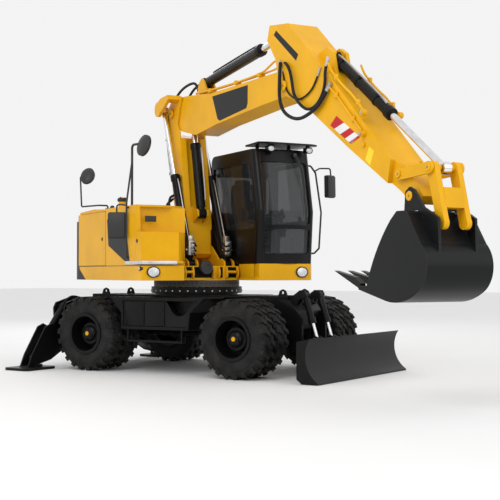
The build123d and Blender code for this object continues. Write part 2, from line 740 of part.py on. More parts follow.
def engine_housing():
    """Fixed frame of the engine bay: bulkhead, rear wall, posts, rails and the right-hand boxes."""
    top = hood_top - 30
    with BuildPart() as housing:
        with BuildSketch(level(seam_height)):
            for x0, x1, y0, y1 in ((bulkhead_x - wall, bulkhead_x, -1190, 1190), (housing_rear, housing_rear + wall, -1190, 1190),
                                   (bulkhead_x, 700, -1190 + 0, -1190 + wall), (bulkhead_x, 700, -500 - wall, -500),
                                   (700 - wall, 700, -1190, -500)):
                Polygon((x0, y0), (x1, y0), (x1, y1), (x0, y1), align=None)
        extrude(amount=top - seam_height)
        # rails under the hood and the roof of the right-hand box
        with BuildSketch(level(top - 60)):
            for y0, y1 in ((-1190, -1190 + wall), (1190 - wall, 1190)):
                Polygon((housing_rear, y0), (bulkhead_x, y0), (bulkhead_x, y1), (housing_rear, y1), align=None)
        extrude(amount=60)
        with BuildSketch(level(top)):
            Polygon((bulkhead_x + 12, -upper_half_width + 10), (760, -upper_half_width + 10), (760, -800), (600, -500),
                    (bulkhead_x + 12, -500), align=None)
        extrude(amount=30)
        # tank behind the cab
        with BuildSketch(level(seam_height)):
            Polygon((bulkhead_x, cab_right), (cab_rear - 30, cab_right), (cab_rear - 30, upper_half_width - 5),
                    (bulkhead_x, upper_half_width - 5), align=None)
        extrude(amount=top - seam_height)
        # fixed skin of the right side, in front of its door
        with BuildSketch(side(-1188)):
            Polygon((door_front + 6, seam_height), (700, seam_height), (700, 1500), (790, 1930), (760, top + 30),
                    (door_front + 6, top + 30), align=None)
        extrude(amount=upper_half_width - 1188)
        # tank box in front with its sloping inner side
        with BuildSketch(level(1530)):
            Polygon((700, -1240), (920, -1240), (920, -690), (860, -600), (700, -500), align=None)
        extrude(amount=390)
        with BuildSketch(level(1500)):
            Polygon((700, -1245), (960, -1245), (960, -640), (700, -640), align=None)
        extrude(amount=30)
        # tread strip round the foot of the tank box, and the filler on its roof
        with BuildSketch(level(1488)):
            Polygon((400, -upper_half_width), (400, -upper_half_width - 18), (978, -upper_half_width - 18),
                    (978, -740), (960, -740), (960, -upper_half_width), align=None)
        extrude(amount=42)
        with BuildSketch(level(hood_top)):
            with Locations((-230, -1060)):
                Circle(54)
        extrude(amount=100)
        with BuildSketch(level(hood_top + 100)):
            with Locations((-230, -1060)):
                Circle(64)
        extrude(amount=50)
        # cover over the counterweight
        with BuildSketch(level(2161)):
            with BuildLine():
                Polyline((-1740, -1210), (-1652, -1215), (-1652, 1215), (-1740, 1210))
                ThreePointArc((-1740, 1210), (-1950, 1070), (-2030, 800))
                ThreePointArc((-2030, 800), (-2080, 0), (-2030, -800))
                ThreePointArc((-2030, -800), (-1950, -1070), (-1740, -1210))
            make_face()
        extrude(amount=hood_top + 10 - 2161, taper=12)
        with BuildSketch(level(2161)):
            Polygon((-1670, -1150), (housing_rear + 5, -1150), (housing_rear + 5, 1150), (-1670, 1150), align=None)
        extrude(amount=hood_top - 60 - 2161)
    return housing.part


def deck_lamps():
    """Oval lamps at the front of the deck."""
    with BuildPart() as lights:
        for x, y in ((950, -1075), (beam_front, 1040)):
            with BuildSketch(front(x)):
                with Locations((y, 1384)):
                    Ellipse(92, 72)
            extrude(amount=22)
    return lights.part


def engine_block():
    with BuildPart() as engine:
        with BuildSketch(level(upper_bottom + 60)):
            with Locations((-1100, 0)):
                RectangleRounded(700, 1000, 60)
        extrude(amount=680)
    return engine.part


def hood_lid():
    """Top lid of the engine bay, hinged along its rear edge, with the exhaust on it."""
    with BuildPart() as lid:
        half = upper_half_width - 30
        with BuildSketch(side(half)):
            with BuildLine():
                Polyline((housing_rear, hood_top - 28), (bulkhead_x + 6, hood_top - 28),
                         (bulkhead_x + 6, hood_top + 2), (-1000, hood_top + 24),
                         (housing_rear + 80, hood_top + 8), (housing_rear, hood_top - 28))
            make_face()
        extrude(amount=2 * half)
        # cooling louvres and the exhaust's collar and pipe
        for x in (-1450, -1390, -1330, -1270):
            with BuildSketch(level(hood_top - 10)):
                with Locations((x, -560)):
                    RectangleRounded(26, 620, 12)
            extrude(amount=60, mode=Mode.SUBTRACT)
        with BuildSketch(level(hood_top + 10)):
            with Locations((-1050, 620)):
                Circle(100)
        extrude(amount=45)
        with BuildSketch(level(hood_top + 50)):
            with Locations((-1050, 620)):
                Circle(60)
        extrude(amount=300)
        with BuildSketch(level(hood_top + 250)):
            with Locations((-1050, 620)):
                Circle(50)
        extrude(amount=110, mode=Mode.SUBTRACT)
    return lid.part


def side_door(s, x0, x1, louvres):
    """Service door in the upper structure's side, with a panel of louvres if it breathes."""
    face = upper_half_width - door_depth
    with BuildPart() as door:
        with BuildSketch(side(upper_half_width if s > 0 else -face)):
            Polygon((x0, seam_height + 6), (x1, seam_height + 6), (x1, hood_top - 36), (x0, hood_top - 36), align=None)
            for row in range(louvres):
                with Locations(((x0 + x1) / 2, seam_height + 130 + row * louvre_pitch)):
                    RectangleRounded(x1 - x0 - 240, 24, 11, mode=Mode.SUBTRACT)
        extrude(amount=door_depth)
    return door.part


def cab_setback(z):
    """How far the cab's nose stands back at a height: it leans in above and below its widest line."""
    if z > cab_waist:
        return cab_top_setback * (z - cab_waist) / (cab_roof - cab_waist)
    return cab_foot_setback * (cab_waist - z) / (cab_waist - cab_floor)


def cab_plan(inset, z):
    """Plan of the cab at a height, inset from the outside: its straight walls, then its bulged front."""
    right, left = cab_right + inset, cab_left - inset
    nose = cab_front - inset - cab_setback(z)
    side_end = cab_front - cab_corner - cab_setback(z)
    turn = 0.7 * cab_corner      # where the corner ends on the front, from the cab's outer side
    mid = 0.28 * cab_corner      # middle of the corner's arc, from the nose and from the side
    middle = (cab_left + cab_right) / 2
    walls = ((side_end, right), (cab_rear + inset, right), (cab_rear + inset, left), (side_end, left))
    arcs = (((side_end, left), (nose - mid, left - mid * 0.6), (nose, cab_left - turn)),
            ((nose, cab_left - turn), (nose + cab_bulge, middle), (nose, cab_right + turn)),
            ((nose, cab_right + turn), (nose - mid, right + mid * 0.6), (side_end, right)))
    return walls, arcs


def cab_shell(inset, bottom, top, mode=Mode.ADD):
    """Body of the cab inset from the outside, added to or cut from the open part builder."""
    sections = []
    for z in (bottom, cab_waist, top):
        walls, arcs = cab_plan(inset, z)
        with BuildSketch(level(z)) as section:
            with BuildLine():
                Polyline(*walls)
                for arc in arcs:
                    ThreePointArc(*arc)
            make_face()
        sections.append(section.sketch)
    loft(sections=sections, ruled=True, mode=mode)


def front_edge(z, gap):
    """Front edge of a side opening at a height, kept a gap behind the corner post."""
    return cab_front - cab_corner - cab_setback(z) - gap


def screen_openings(gap):
    """The two windscreen openings in the open front-view sketch, smaller all round by gap."""
    for z0, z1 in ((1640, 1980), (2040, 2920)):
        with Locations(((cab_left + cab_right) / 2, (z0 + z1) / 2)):
            RectangleRounded(cab_left - cab_right - 160 - 2 * gap, z1 - z0 - 2 * gap, 40)


def side_pane(x0, z0, z1, gap, inset):
    """Outline of a side opening whose front edge follows the corner post, smaller all round by inset."""
    bottom, top = z0 + inset, z1 - inset
    return ((x0 + inset, bottom), (front_edge(bottom, gap + inset), bottom),
            (front_edge(min(max(cab_waist, bottom), top), gap + inset), min(max(cab_waist, bottom + 1), top - 1)),
            (front_edge(top, gap + inset), top), (x0 + inset, top))


def cab_frame():
    """Hollow cab: floor, roof, rear and right walls, corner posts; the left side is the door's opening."""
    with BuildPart() as cab:
        cab_shell(0, cab_floor, cab_roof)
        # the roof falls to the rear over a rounded edge
        rear_edge = cab.edges().filter_by(Axis.Y).group_by(Axis.X)[0].sort_by(Axis.Z)[-1]
        fillet(rear_edge, radius=roof_round)
        cab_shell(cab_wall, cab_floor + 40, cab_roof - 60, mode=Mode.SUBTRACT)
        # windscreen, upper and lower openings
        with BuildSketch(front(cab_front - 400)):
            screen_openings(0)
        extrude(amount=600, mode=Mode.SUBTRACT)
        # rear window
        with BuildSketch(front(cab_rear - 50)):
            with Locations(((cab_left + cab_right) / 2, 2430)):
                RectangleRounded(700, 760, 60)
        extrude(amount=200, mode=Mode.SUBTRACT)
        # right window
        with BuildSketch(side(cab_right + 150)):
            Polygon(*side_pane(-230, 1990, 2910, 30, 0), align=None)
        extrude(amount=300, mode=Mode.SUBTRACT)
        # door opening and the small window behind it
        with BuildSketch(side(cab_left + 50)):
            Polygon(*side_pane(90, cab_floor + 40, 2960, 30, 0), align=None)
            with Locations((-105, 2500)):
                RectangleRounded(230, 620, 40)
        extrude(amount=200, mode=Mode.SUBTRACT)
        # roof hatch
        with BuildSketch(level(cab_roof - 100)):
            with Locations((380, (cab_left + cab_right) / 2)):
                RectangleRounded(560, 620, 60)
        extrude(amount=200, mode=Mode.SUBTRACT)
    return cab.part


def cab_door():
    with BuildPart() as door:
        with BuildSketch(side(cab_left + 2)):
            Polygon(*side_pane(90, cab_floor + 40, 2960, 30, 8), align=None)
            Polygon(*side_pane(165, 2110, 2890, 95, 0), align=None, mode=Mode.SUBTRACT)
            Polygon(*side_pane(165, 1660, 2040, 95, 0), align=None, mode=Mode.SUBTRACT)
        extrude(amount=cab_wall - 6)
    return door.part


def cab_glass():
    """Panes of the cab, set in the middle of the walls."""
    pane = 8
    with BuildPart() as glass:
        # the windscreen is the cab's shell, thinned and cut to its two openings
        cab_shell(22, cab_floor + 100, cab_roof - 100)
        cab_shell(22 + pane, cab_floor + 60, cab_roof - 60, mode=Mode.SUBTRACT)
        with BuildSketch(front(cab_front - 360)):
            screen_openings(2)
        extrude(amount=600, mode=Mode.INTERSECT)
        with BuildSketch(front(cab_rear + 20)):
            with Locations(((cab_left + cab_right) / 2, 2430)):
                RectangleRounded(699, 759, 60)
        extrude(amount=pane)
        with BuildSketch(side(cab_right + 28)):
            Polygon(*side_pane(-230, 1990, 2910, 30, 0.5), align=None)
        extrude(amount=pane)
        with BuildSketch(side(cab_left - 20)):
            with Locations((-105, 2500)):
                RectangleRounded(229, 619, 40)
        extrude(amount=pane)
        with BuildSketch(level(cab_roof - 34)):
            with Locations((380, (cab_left + cab_right) / 2)):
                RectangleRounded(559, 619, 60)
        extrude(amount=pane)
    return glass.part


def door_glass():
    with BuildPart() as glass:
        with BuildSketch(side(cab_left - 18)):
            Polygon(*side_pane(165, 2110, 2890, 95, 0.5), align=None)
            Polygon(*side_pane(165, 1660, 2040, 95, 0.5), align=None)
        extrude(amount=8)
    return glass.part


def cab_visor():
    """Visor over the windscreen on its posts, with the work lamps under its front edge."""
    with BuildPart() as visor:
        with BuildSketch(level(cab_roof + visor_rise)):
            Polygon((760, 400), (1240, 350), (1290, 480), (1290, 1180), (1240, 1290), (760, 1240), align=None)
        extrude(amount=25)
        for y in (570, 812, 1080):
            with BuildSketch(front(780)):
                with Locations((y, cab_roof + visor_rise / 2)):
                    Rectangle(40, visor_rise)
            extrude(amount=40)
        for y in (570, 1180):
            with BuildSketch(front(1140)):
                with Locations((y, cab_roof - 5)):
                    RectangleRounded(120, 80, 20)
                with Locations((y, cab_roof + visor_rise - 10)):
                    Rectangle(30, 22)
            extrude(amount=60)
    return visor.part


def tube(points, radius, bend):
    """Bent tube added to the open part builder."""
    with BuildLine() as path:
        if len(points) > 2:
            FilletPolyline(*points, radius=bend)
        else:
            Line(*points)
    with BuildSketch(Plane(origin=path.line @ 0, z_dir=path.line % 0)) as section:
        Circle(radius)
    sweep(section.sketch, path=path.line)


def mirror_head(centre, facing, width, height, depth, oval):
    """Mirror whose glass looks along facing, added to the open part builder."""
    across = Vector(-facing[1], facing[0], 0)
    with BuildSketch(Plane(origin=centre, x_dir=across, z_dir=facing)) as face:
        if oval:
            Ellipse(width / 2, height / 2)
        else:
            RectangleRounded(width, height, 28)
    extrude(face.sketch, amount=depth, both=True)


def mirrors():
    """Mirrors with their masts and arms, and the grab rails at the cab's door."""
    side_y = -upper_half_width
    with BuildPart() as rails:
        # mast on the right-hand box, with a wide-angle mirror for the right side
        tube(((240, -1100, hood_top), (240, -1100, 3150), (430, -1062, 3150)), 17, 50)
        mirror_head((500, -1030, 3120), (-0.18, 0.95, -0.22), 300, 300, 14, True)
        tube(((410, -1066, 3150), (500, -1040, 3125)), 12, 1)
        # right-hand mirror on its pole, which bends up to the mast
        tube(((500, side_y, 1580), (500, side_y - 35, 1580), (500, side_y - 35, 2330), (330, -1130, 2950),
              (242, -1102, 3010)), rail_radius, 30)
        tube(((500, side_y, 2260), (500, side_y - 30, 2260)), rail_radius, 1)
        tube(((500, side_y - 34, 2290), (455, side_y - 110, 2305), (392, side_y - 135, 2290),
              (388, side_y - 135, 2170)), 11, 30)
        mirror_head((385, side_y - 127, 2020), (-0.86, 0.5, 0.02), 250, 360, 16, False)
        # rear mirror over the right-hand door
        tube(((-510, -1180, hood_top), (-510, -1180, 2345), (-510, -1320, 2345), (-940, -1430, 2345),
              (-970, -1440, 2780), (-925, -1375, 2840)), 12, 24)
        mirror_head((-920, -1345, 2800), (-0.62, 0.5, -0.45), 210, 270, 14, True)
        # rail in front of the cab's door, and the left-hand mirror on it
        top = cab_front - cab_setback(2900) - cab_corner - 20
        foot = cab_front - cab_setback(1650) - cab_corner - 20
        waist = cab_front - cab_corner
        tube(((top, cab_left, 2905), (top, cab_left + 85, 2905), (top + 60, cab_left + 130, 2800),
              (waist, cab_left + 165, cab_waist), (foot + 50, cab_left + 140, 1720), (foot, cab_left + 90, 1650),
              (foot, cab_left, 1650)), rail_radius, 30)
        tube(((top + 50, cab_left + 122, 2826), (top + 90, cab_left + 180, 2866), (top + 200, cab_left + 290, 2860),
              (top + 210, cab_left + 295, 2740)), 11, 30)
        mirror_head((top + 210, cab_left + 275, 2600), (-0.93, -0.36, -0.02), 190, 320, 24, False)
        # rail behind the door
        tube(((-200, cab_left, 1800), (-200, cab_left + 50, 1800), (-200, cab_left + 50, 2790),
              (-200, cab_left, 2790)), rail_radius, 30)
    return rails.part


def operator_seat():
    x = 300
    middle = (cab_left + cab_right) / 2
    with BuildPart() as seat:
        with BuildSketch(side(middle + 250)):
            Polygon((x - 250, 2000), (x + 270, 2020), (x + 290, 2090), (x + 240, 2130), (x - 130, 2110), (x - 260, 2780),
                    (x - 340, 2780), (x - 300, 2100), align=None)
        extrude(amount=500)
        with BuildSketch(level(cab_floor + 40)):
            with Locations((x - 10, middle)):
                RectangleRounded(420, 420, 40)
        extrude(amount=462)
    return seat.part


def cab_consoles():
    middle = (cab_left + cab_right) / 2
    with BuildPart() as consoles:
        for y in (middle + 345, middle - 275):
            with BuildSketch(side(y)):
                Polygon((20, 1860), (560, 1900), (600, 2080), (520, 2110), (60, 2060), align=None)
            extrude(amount=70)
            with BuildSketch(side(y)):
                Polygon((100, cab_floor + 40), (400, cab_floor + 40), (400, 1900), (100, 1900), align=None)
            extrude(amount=70)
        with BuildSketch(side(middle + 35)):
            Polygon((880, cab_floor + 40), (960, cab_floor + 40), (860, 2130), (790, 2130), align=None)
        extrude(amount=70)
        with BuildSketch(Plane(origin=(815, middle, 2150), x_dir=(0, 1, 0), z_dir=(-0.35, 0, 1))):
            Circle(170)
            Circle(145, mode=Mode.SUBTRACT)
            Rectangle(300, 40)
        extrude(amount=22)
    return consoles.part


# ---- boom and arm -------------------------------------------------------------------------
def base_boom():
    column = ((-95, 1640), (0, 1590), (85, 1650), (60, 2080), (30, 2300), (-110, 3160), (-150, 3420), (-240, 3560),
              (-160, 3780), (-86, 3930), (-150, 3960), (-440, 3945), (-600, 3760), (-590, 3560), (-500, 3000),
              (-270, 2100))
    with BuildPart() as boom:
        with BuildSketch(side(boom_outer)):
            Polygon(*column, align=None)
        extrude(amount=2 * boom_outer)
        # the fork for the upper boom
        with BuildSketch(side(boom_inner)):
            Polygon((-700, 3480), (-300, 3360), (0, 3330), (0, 4100), (-700, 4100), align=None)
        extrude(amount=2 * boom_inner, mode=Mode.SUBTRACT)
        # the foot narrows to fit between the brackets
        for y0, y1 in ((boom_outer + 1, 188), (-188, -boom_outer - 1)):
            with BuildSketch(side(y0)):
                Polygon((-400, 1500), (300, 1500), (300, 2000), (-400, 2000), align=None)
            extrude(amount=y0 - y1, mode=Mode.SUBTRACT)
        # ears of the lift rams: plates on both sides of each rod eye
        for left, right in ((345 + 45, 345), (-345, -345 - 45)):
            with BuildSketch(side(left)):
                Polygon((-557, 3700), (-400, 3760), (-150, 3900), (-180, 3965), (-440, 3950), (-600, 3890), align=None)
                with Locations(lift_ram.rod_pin):
                    Circle(110)
            extrude(amount=left - right)
        for left, right in ((346, boom_outer - 2), (-boom_outer + 2, -346)):
            with BuildSketch(side(left)):
                Polygon((-440, 3950), (-180, 3965), (-150, 3900), (-300, 3870), align=None)
            extrude(amount=left - right)
        # the front plate lies deep between the side plates, behind the positioning ram
        with BuildSketch(side(110)):
            Polygon((-30, 2330), (160, 2330), (60, 3700), (-260, 3700), (-215, 3340), (-185, 3150), align=None)
        extrude(amount=220, mode=Mode.SUBTRACT)
        # clevis of the positioning ram
        for left, right in ((61 + 26, 61), (-61, -61 - 26)):
            with BuildSketch(side(left)):
                Polygon((-10, 2060), (120, 2130), (215, 2190), (215, 2270), (160, 2295), (100, 2280), (0, 2340),
                        (-60, 2300), align=None)
            extrude(amount=left - right)
        with BuildSketch(side(61)):
            with Locations(positioning_ram.foot):
                Circle(positioning_ram.eye + 12)
        extrude(amount=122, mode=Mode.SUBTRACT)
        pins(positioning_ram.foot, pin_radius, 80, -80)
        pins(knuckle, 55, boom_outer + 20, -boom_outer - 20)
        bores(boom_foot, 50, 400)
    return boom.part


def upper_boom():
    outline = ((-500, 3850), (-330, 3900), (-144, 3940), (100, 3925), (844, 3850), (2779, 3830), (3040, 3750),
               (3060, 3560), (2960, 3500), (2365, 3480), (1004, 3400), (349, 3330), (-150, 3440), (-440, 3590),
               (-560, 3690))
    rod_clevis = positioning_ram.eye_width / 2 + side_gap
    with BuildPart() as boom:
        with BuildSketch(side(upper_boom_half)):
            Polygon(*outline, align=None)
        extrude(amount=2 * upper_boom_half)
        # slot for the positioning ram's eye
        with BuildSketch(side(rod_clevis)):
            Polygon((-330, 3380), (-60, 3200), (160, 3200), (60, 3600), (-40, 3640), (-230, 3660), (-330, 3600), align=None)
        extrude(amount=2 * rod_clevis, mode=Mode.SUBTRACT)
        # bracket of the dipper ram's foot
        for left, right in ((56 + 28, 56), (-56, -56 - 28)):
            with BuildSketch(side(left)):
                Polygon((120, 3900), (560, 3860), (415, 4095), (343, 4150), (265, 4105), align=None)
            extrude(amount=left - right)
        pins(dipper_ram.foot, pin_radius, 80, -80)
        pins(dipper_pivot, 50, boom_outer + 20, -boom_outer - 20)
        bores(knuckle, 55, 400)
    return boom.part


def dipper():
    outline = ((2860, 3560), (2980, 3500), (3278, 3399), (3620, 3212), (4359, 2743), (5286, 2190), (5420, 2075),
               (5560, 2050), (5640, 2130), (5560, 2240), (5300, 2480), (5200, 2500), (3985, 3590), (3840, 3700),
               (3041, 4367), (2591, 4429), (2530, 4250), (2743, 3979))
    with BuildPart() as arm:
        with BuildSketch(side(dipper_half)):
            Polygon(*outline, align=None)
        extrude(amount=2 * dipper_half)
        # head open between its plates, for the boom's nose and the ram's eye
        with BuildSketch(side(boom_inner)):
            Polygon((2300, 3300), (3250, 3300), (3330, 3640), (3180, 3900), (3000, 4300), (2950, 4500), (2300, 4600),
                    align=None)
        extrude(amount=2 * boom_inner, mode=Mode.SUBTRACT)
        # the tip narrows to fit between the bucket's ears
        for left, right in ((dipper_half + 1, 150), (-150, -dipper_half - 1)):
            with BuildSketch(side(left)):
                Polygon((5200, 2700), (5080, 2100), (5400, 1900), (5800, 2000), (5700, 2500), align=None)
            extrude(amount=left - right, mode=Mode.SUBTRACT)
        with BuildSketch(side(bucket_ram.eye_width / 2 + side_gap)):
            with Locations(bucket_ram.foot):
                Circle(bucket_ram.eye + 12)
        extrude(amount=bucket_ram.eye_width + 2 * side_gap, mode=Mode.SUBTRACT)
        # bosses of the bucket ram's head
        for left, right in ((51 + 60, 51), (-51, -51 - 60)):
            with BuildSketch(side(left)):
                Polygon((3560, 3900), (3640, 3700), (3990, 3560), (3900, 3880), (3783, 3950), (3700, 3930), align=None)
            extrude(amount=left - right)
        with BuildSketch(side(bucket_ram.tube + side_gap)):
            Polygon(*[beside(bucket_ram, *spot) for spot in ((84, -68), (500, -68), (500, 200), (84, 200))], align=None)
        extrude(amount=2 * (bucket_ram.tube + side_gap), mode=Mode.SUBTRACT)
        pins(bucket_ram.foot, pin_radius, 90, -90)
        bores(dipper_pivot, 50, 400)
        pins(bucket_hinge, 40, 205, -205)
        pins(lever_pivot, 34, 205, -205)
    return arm.part


def tipping_levers():
    """Pair of levers from the dipper's tip to the link's top pin."""
    with BuildPart() as levers:
        for left, right in ((200, 172), (-172, -200)):
            with BuildSketch(side(left)):
                Polygon((5280, 2425), (5780, 2455), (5800, 2340), (5310, 2310), align=None)
                with Locations(lever_pivot, link_top):
                    Circle(62)
            extrude(amount=left - right)
        for s in (1, -1):
            pins(link_top, 34, max(s * 200, s * 56), min(s * 200, s * 56))
        bores(lever_pivot, 34, 400)
    return levers.part


def tipping_link():
    """Link from the levers' pin down to the bucket's ears."""
    arms = ((166, 106), (-106, -166))
    with BuildPart() as link:
        for left, right in arms:
            with BuildSketch(side(left)):
                Polygon((5715, 2400), (5850, 2400), (5995, 1860), (5875, 1850), align=None)
                with Locations(link_top, link_bottom):
                    Circle(64)
            extrude(amount=left - right)
        with BuildSketch(side(106)):
            Polygon((5790, 2180), (5910, 2200), (5960, 2000), (5850, 1990), align=None)
        extrude(amount=212)
        bores(link_top, 34, 400)
    return link.part


def bucket():
    """Digging bucket: curved shell, side plates, ears and teeth."""
    half = 400
    sheet = 24
    mouth = ((5440, 1900), (5010, 1215))
    with BuildPart() as shell:
        with BuildSketch(side(half)):
            with BuildLine():
                Polyline((5440, 1900), (5541, 1979), (5658, 1978), (5723, 1950), (5930, 1655))
                ThreePointArc((5930, 1655), (6030, 1400), (5896, 1190))
                ThreePointArc((5896, 1190), (5640, 1092), (5349, 1093))
                Polyline((5349, 1093), (4862, 1200), (4862, 1240), (5010, 1235))
                ThreePointArc((5010, 1235), (5229, 1650), (5440, 1900))
            make_face()
        extrude(amount=2 * half)
        with BuildSketch(side(half - sheet)):
            with BuildLine():
                Polyline((5350, 1900), (5560, 1945), (5650, 1945), (5700, 1925), (5905, 1640))
                ThreePointArc((5905, 1640), (5996, 1405), (5880, 1222))
                ThreePointArc((5880, 1222), (5640, 1128), (5360, 1126))
                Polyline((5360, 1126), (4900, 1226), (4700, 1300), (4800, 1600), (5350, 1900))
            make_face()
        extrude(amount=2 * (half - sheet), mode=Mode.SUBTRACT)
        for left, right in ((236, 208), (-208, -236)):
            with BuildSketch(side(left)):
                Polygon((5440, 1960), (5460, 2180), (5530, 2225), (5610, 2190), (5760, 2010), (5900, 1945), (5990, 1900),
                        (6005, 1420), (5960, 1500), (5935, 1660), (5728, 1955), (5660, 1984), (5541, 1984), align=None)
            extrude(amount=left - right)
        bores(bucket_hinge, 40, 400)
    return shell.part


def bucket_teeth():
    with BuildPart() as teeth:
        for i in range(5):
            y = -340 + 170 * i
            with BuildSketch(side(y + 35)):
                Polygon((4859, 1262), (4859, 1200), (4700, 1262), (4345, 1398), (4740, 1330), align=None)
            extrude(amount=70)
    return teeth.part


# ---- write every piece --------------------------------------------------------------------
os.makedirs("parts", exist_ok=True)

rear_axle_x = front_axle_x - wheelbase

save(chassis_frame(), "chassis_frame")
save(tool_boxes(), "tool_boxes")
save(slew_ring(), "slew_ring")
save(axle(front_axle_x, True), "front_axle")
save(axle(rear_axle_x, False), "rear_axle")
save(drive_shafts(), "drive_shafts")
save(stabiliser_frame(), "stabiliser_frame")
save(blade(), "blade")
save(ram_barrels(blade_ram, 22), "blade_ram_barrels")
save(ram_rods(blade_ram), "blade_ram_rods")

one_tyre = tyre()
for name, s in (("left", 1), ("right", -1)):
    save(knuckle_piece(s), f"knuckle_{name}")
    save(stabiliser_leg(s), f"stabiliser_leg_{name}")
    save(stabiliser_barrel(s), f"stabiliser_barrel_{name}")
    save(stabiliser_rod(s), f"stabiliser_rod_{name}")
    for end, x in (("front", front_axle_x), ("rear", rear_axle_x)):
        save(wheel(x, s), f"wheel_{end}_{name}")
        save(tyres(x, s, one_tyre), f"tyres_{end}_{name}")

upper_pieces = (
    (upper_deck, "upper_deck"), (counterweight, "counterweight"), (engine_housing, "engine_housing"),
    (engine_block, "engine_block"), (hood_lid, "hood_lid"), (cab_frame, "cab_frame"),
    (cab_door, "cab_door"), (cab_glass, "cab_glass"), (door_glass, "door_glass"),
    (cab_visor, "cab_visor"), (mirrors, "mirrors"), (deck_lamps, "deck_lamps"),
    (operator_seat, "operator_seat"), (cab_consoles, "cab_consoles"),
    (base_boom, "base_boom"), (upper_boom, "upper_boom"), (dipper, "dipper"), (tipping_levers, "tipping_levers"),
    (tipping_link, "tipping_link"), (bucket, "bucket"), (bucket_teeth, "bucket_teeth"),
)
for make, label in upper_pieces:
    save(make(), label, slewed=True)
save(side_door(-1, housing_rear + 10, door_front, 0), "side_door_right", slewed=True)
save(side_door(1, housing_rear + 10, bulkhead_x - 6, 12), "side_door_left", slewed=True)

for ram, label in ((lift_ram, "lift_ram"), (positioning_ram, "positioning_ram"), (dipper_ram, "dipper_ram"),
                   (bucket_ram, "bucket_ram")):
    save(ram_barrels(ram), f"{label}_barrel", slewed=True)
    save(ram_rods(ram), f"{label}_rod", slewed=True)
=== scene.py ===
import json
import math
import bmesh
import bpy
from mathutils import Matrix, Vector


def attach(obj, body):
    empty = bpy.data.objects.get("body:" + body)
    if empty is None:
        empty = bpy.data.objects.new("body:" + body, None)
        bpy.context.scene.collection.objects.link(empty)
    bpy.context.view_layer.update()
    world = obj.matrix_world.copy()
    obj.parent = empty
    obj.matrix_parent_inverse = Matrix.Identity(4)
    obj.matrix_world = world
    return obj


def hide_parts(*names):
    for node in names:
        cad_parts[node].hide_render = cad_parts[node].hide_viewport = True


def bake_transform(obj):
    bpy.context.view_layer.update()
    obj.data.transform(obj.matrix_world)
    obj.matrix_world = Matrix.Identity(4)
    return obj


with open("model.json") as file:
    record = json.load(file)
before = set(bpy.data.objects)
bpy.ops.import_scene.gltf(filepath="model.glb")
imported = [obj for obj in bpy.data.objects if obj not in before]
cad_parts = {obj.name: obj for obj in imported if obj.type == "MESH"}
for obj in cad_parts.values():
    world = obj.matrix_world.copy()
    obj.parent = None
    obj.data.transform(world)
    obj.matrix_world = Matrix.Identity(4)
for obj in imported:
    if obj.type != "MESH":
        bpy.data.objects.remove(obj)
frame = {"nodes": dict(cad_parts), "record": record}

bl_info = {
    "name": "Wheeled Excavator Dressing",
    "version": (1, 0, 0),
    "blender": (4, 5, 0),
    "location": "View3D > Sidebar > Excavator",
    "description": "Finishes, treads, pipes, mirrors and lamps for a wheeled excavator",
    "category": "Object",
}

# The upper structure stands turned clockwise, seen from above; its pieces are drawn straight ahead.
SLEW = math.radians(29.5)
UPPER = Matrix.Rotation(-SLEW, 4, "Z")
SIDES = (("left", 1), ("right", -1))
SIGNS = (1, -1)
FRONT_AXLE = 1.45
REAR_AXLE = -1.03
AXLE_HEIGHT = 0.52


# ---- settings ----
class ExcavatorSizes(bpy.types.PropertyGroup):
    edge: bpy.props.FloatProperty(
        name="Plate edge", description="Rounding of steel plate edges", default=0.006, unit="LENGTH")
    hose: bpy.props.FloatProperty(
        name="Hose", description="Radius of the hydraulic hoses", default=0.017, unit="LENGTH")


def colour(name, text, default):
    """A colour setting."""
    return bpy.props.FloatVectorProperty(
        name=name, description=text, default=default, subtype="COLOR", size=3, min=0, max=1)


class ExcavatorColours(bpy.types.PropertyGroup):
    yellow: colour("Yellow", "Paint of the upper structure and arm", (0.775, 0.395, 0.004))
    black: colour("Black", "Paint of the undercarriage and cab", (0.004, 0.004, 0.0045))
    grey: colour("Dark grey", "Paint of the counterweight", (0.012, 0.0125, 0.014))
    steel: colour("Steel", "Bare and zinc-plated steel", (0.55, 0.54, 0.52))
    rubber: colour("Rubber", "Tyres and hoses", (0.007, 0.007, 0.0075))
    red: colour("Red", "Stripes on the dipper", (0.52, 0.012, 0.02))
    white: colour("White", "Stripes on the dipper", (0.8, 0.8, 0.78))


def sizes():
    return bpy.context.scene.excavator_sizes


# ---- finishes ----
FINISHES = {}
DUST = (0.16, 0.14, 0.115, 1)
ROAD_DUST = (0.11, 0.1, 0.088, 1)


class Socket:
    """A node's output, for use in Python expressions."""

    def __init__(self, finish, output):
        self.finish = finish
        self.output = output

    def math(self, operation, first, second):
        return self.finish.node("ShaderNodeMath", {"operation": operation}, {0: first, 1: second})

    def __add__(self, other):
        return self.math("ADD", self, other)

    def __radd__(self, other):
        return self.math("ADD", other, self)

    def __sub__(self, other):
        return self.math("SUBTRACT", self, other)

    def __rsub__(self, other):
        return self.math("SUBTRACT", other, self)

    def __mul__(self, other):
        return self.math("MULTIPLY", self, other)

    def __rmul__(self, other):
        return self.math("MULTIPLY", other, self)


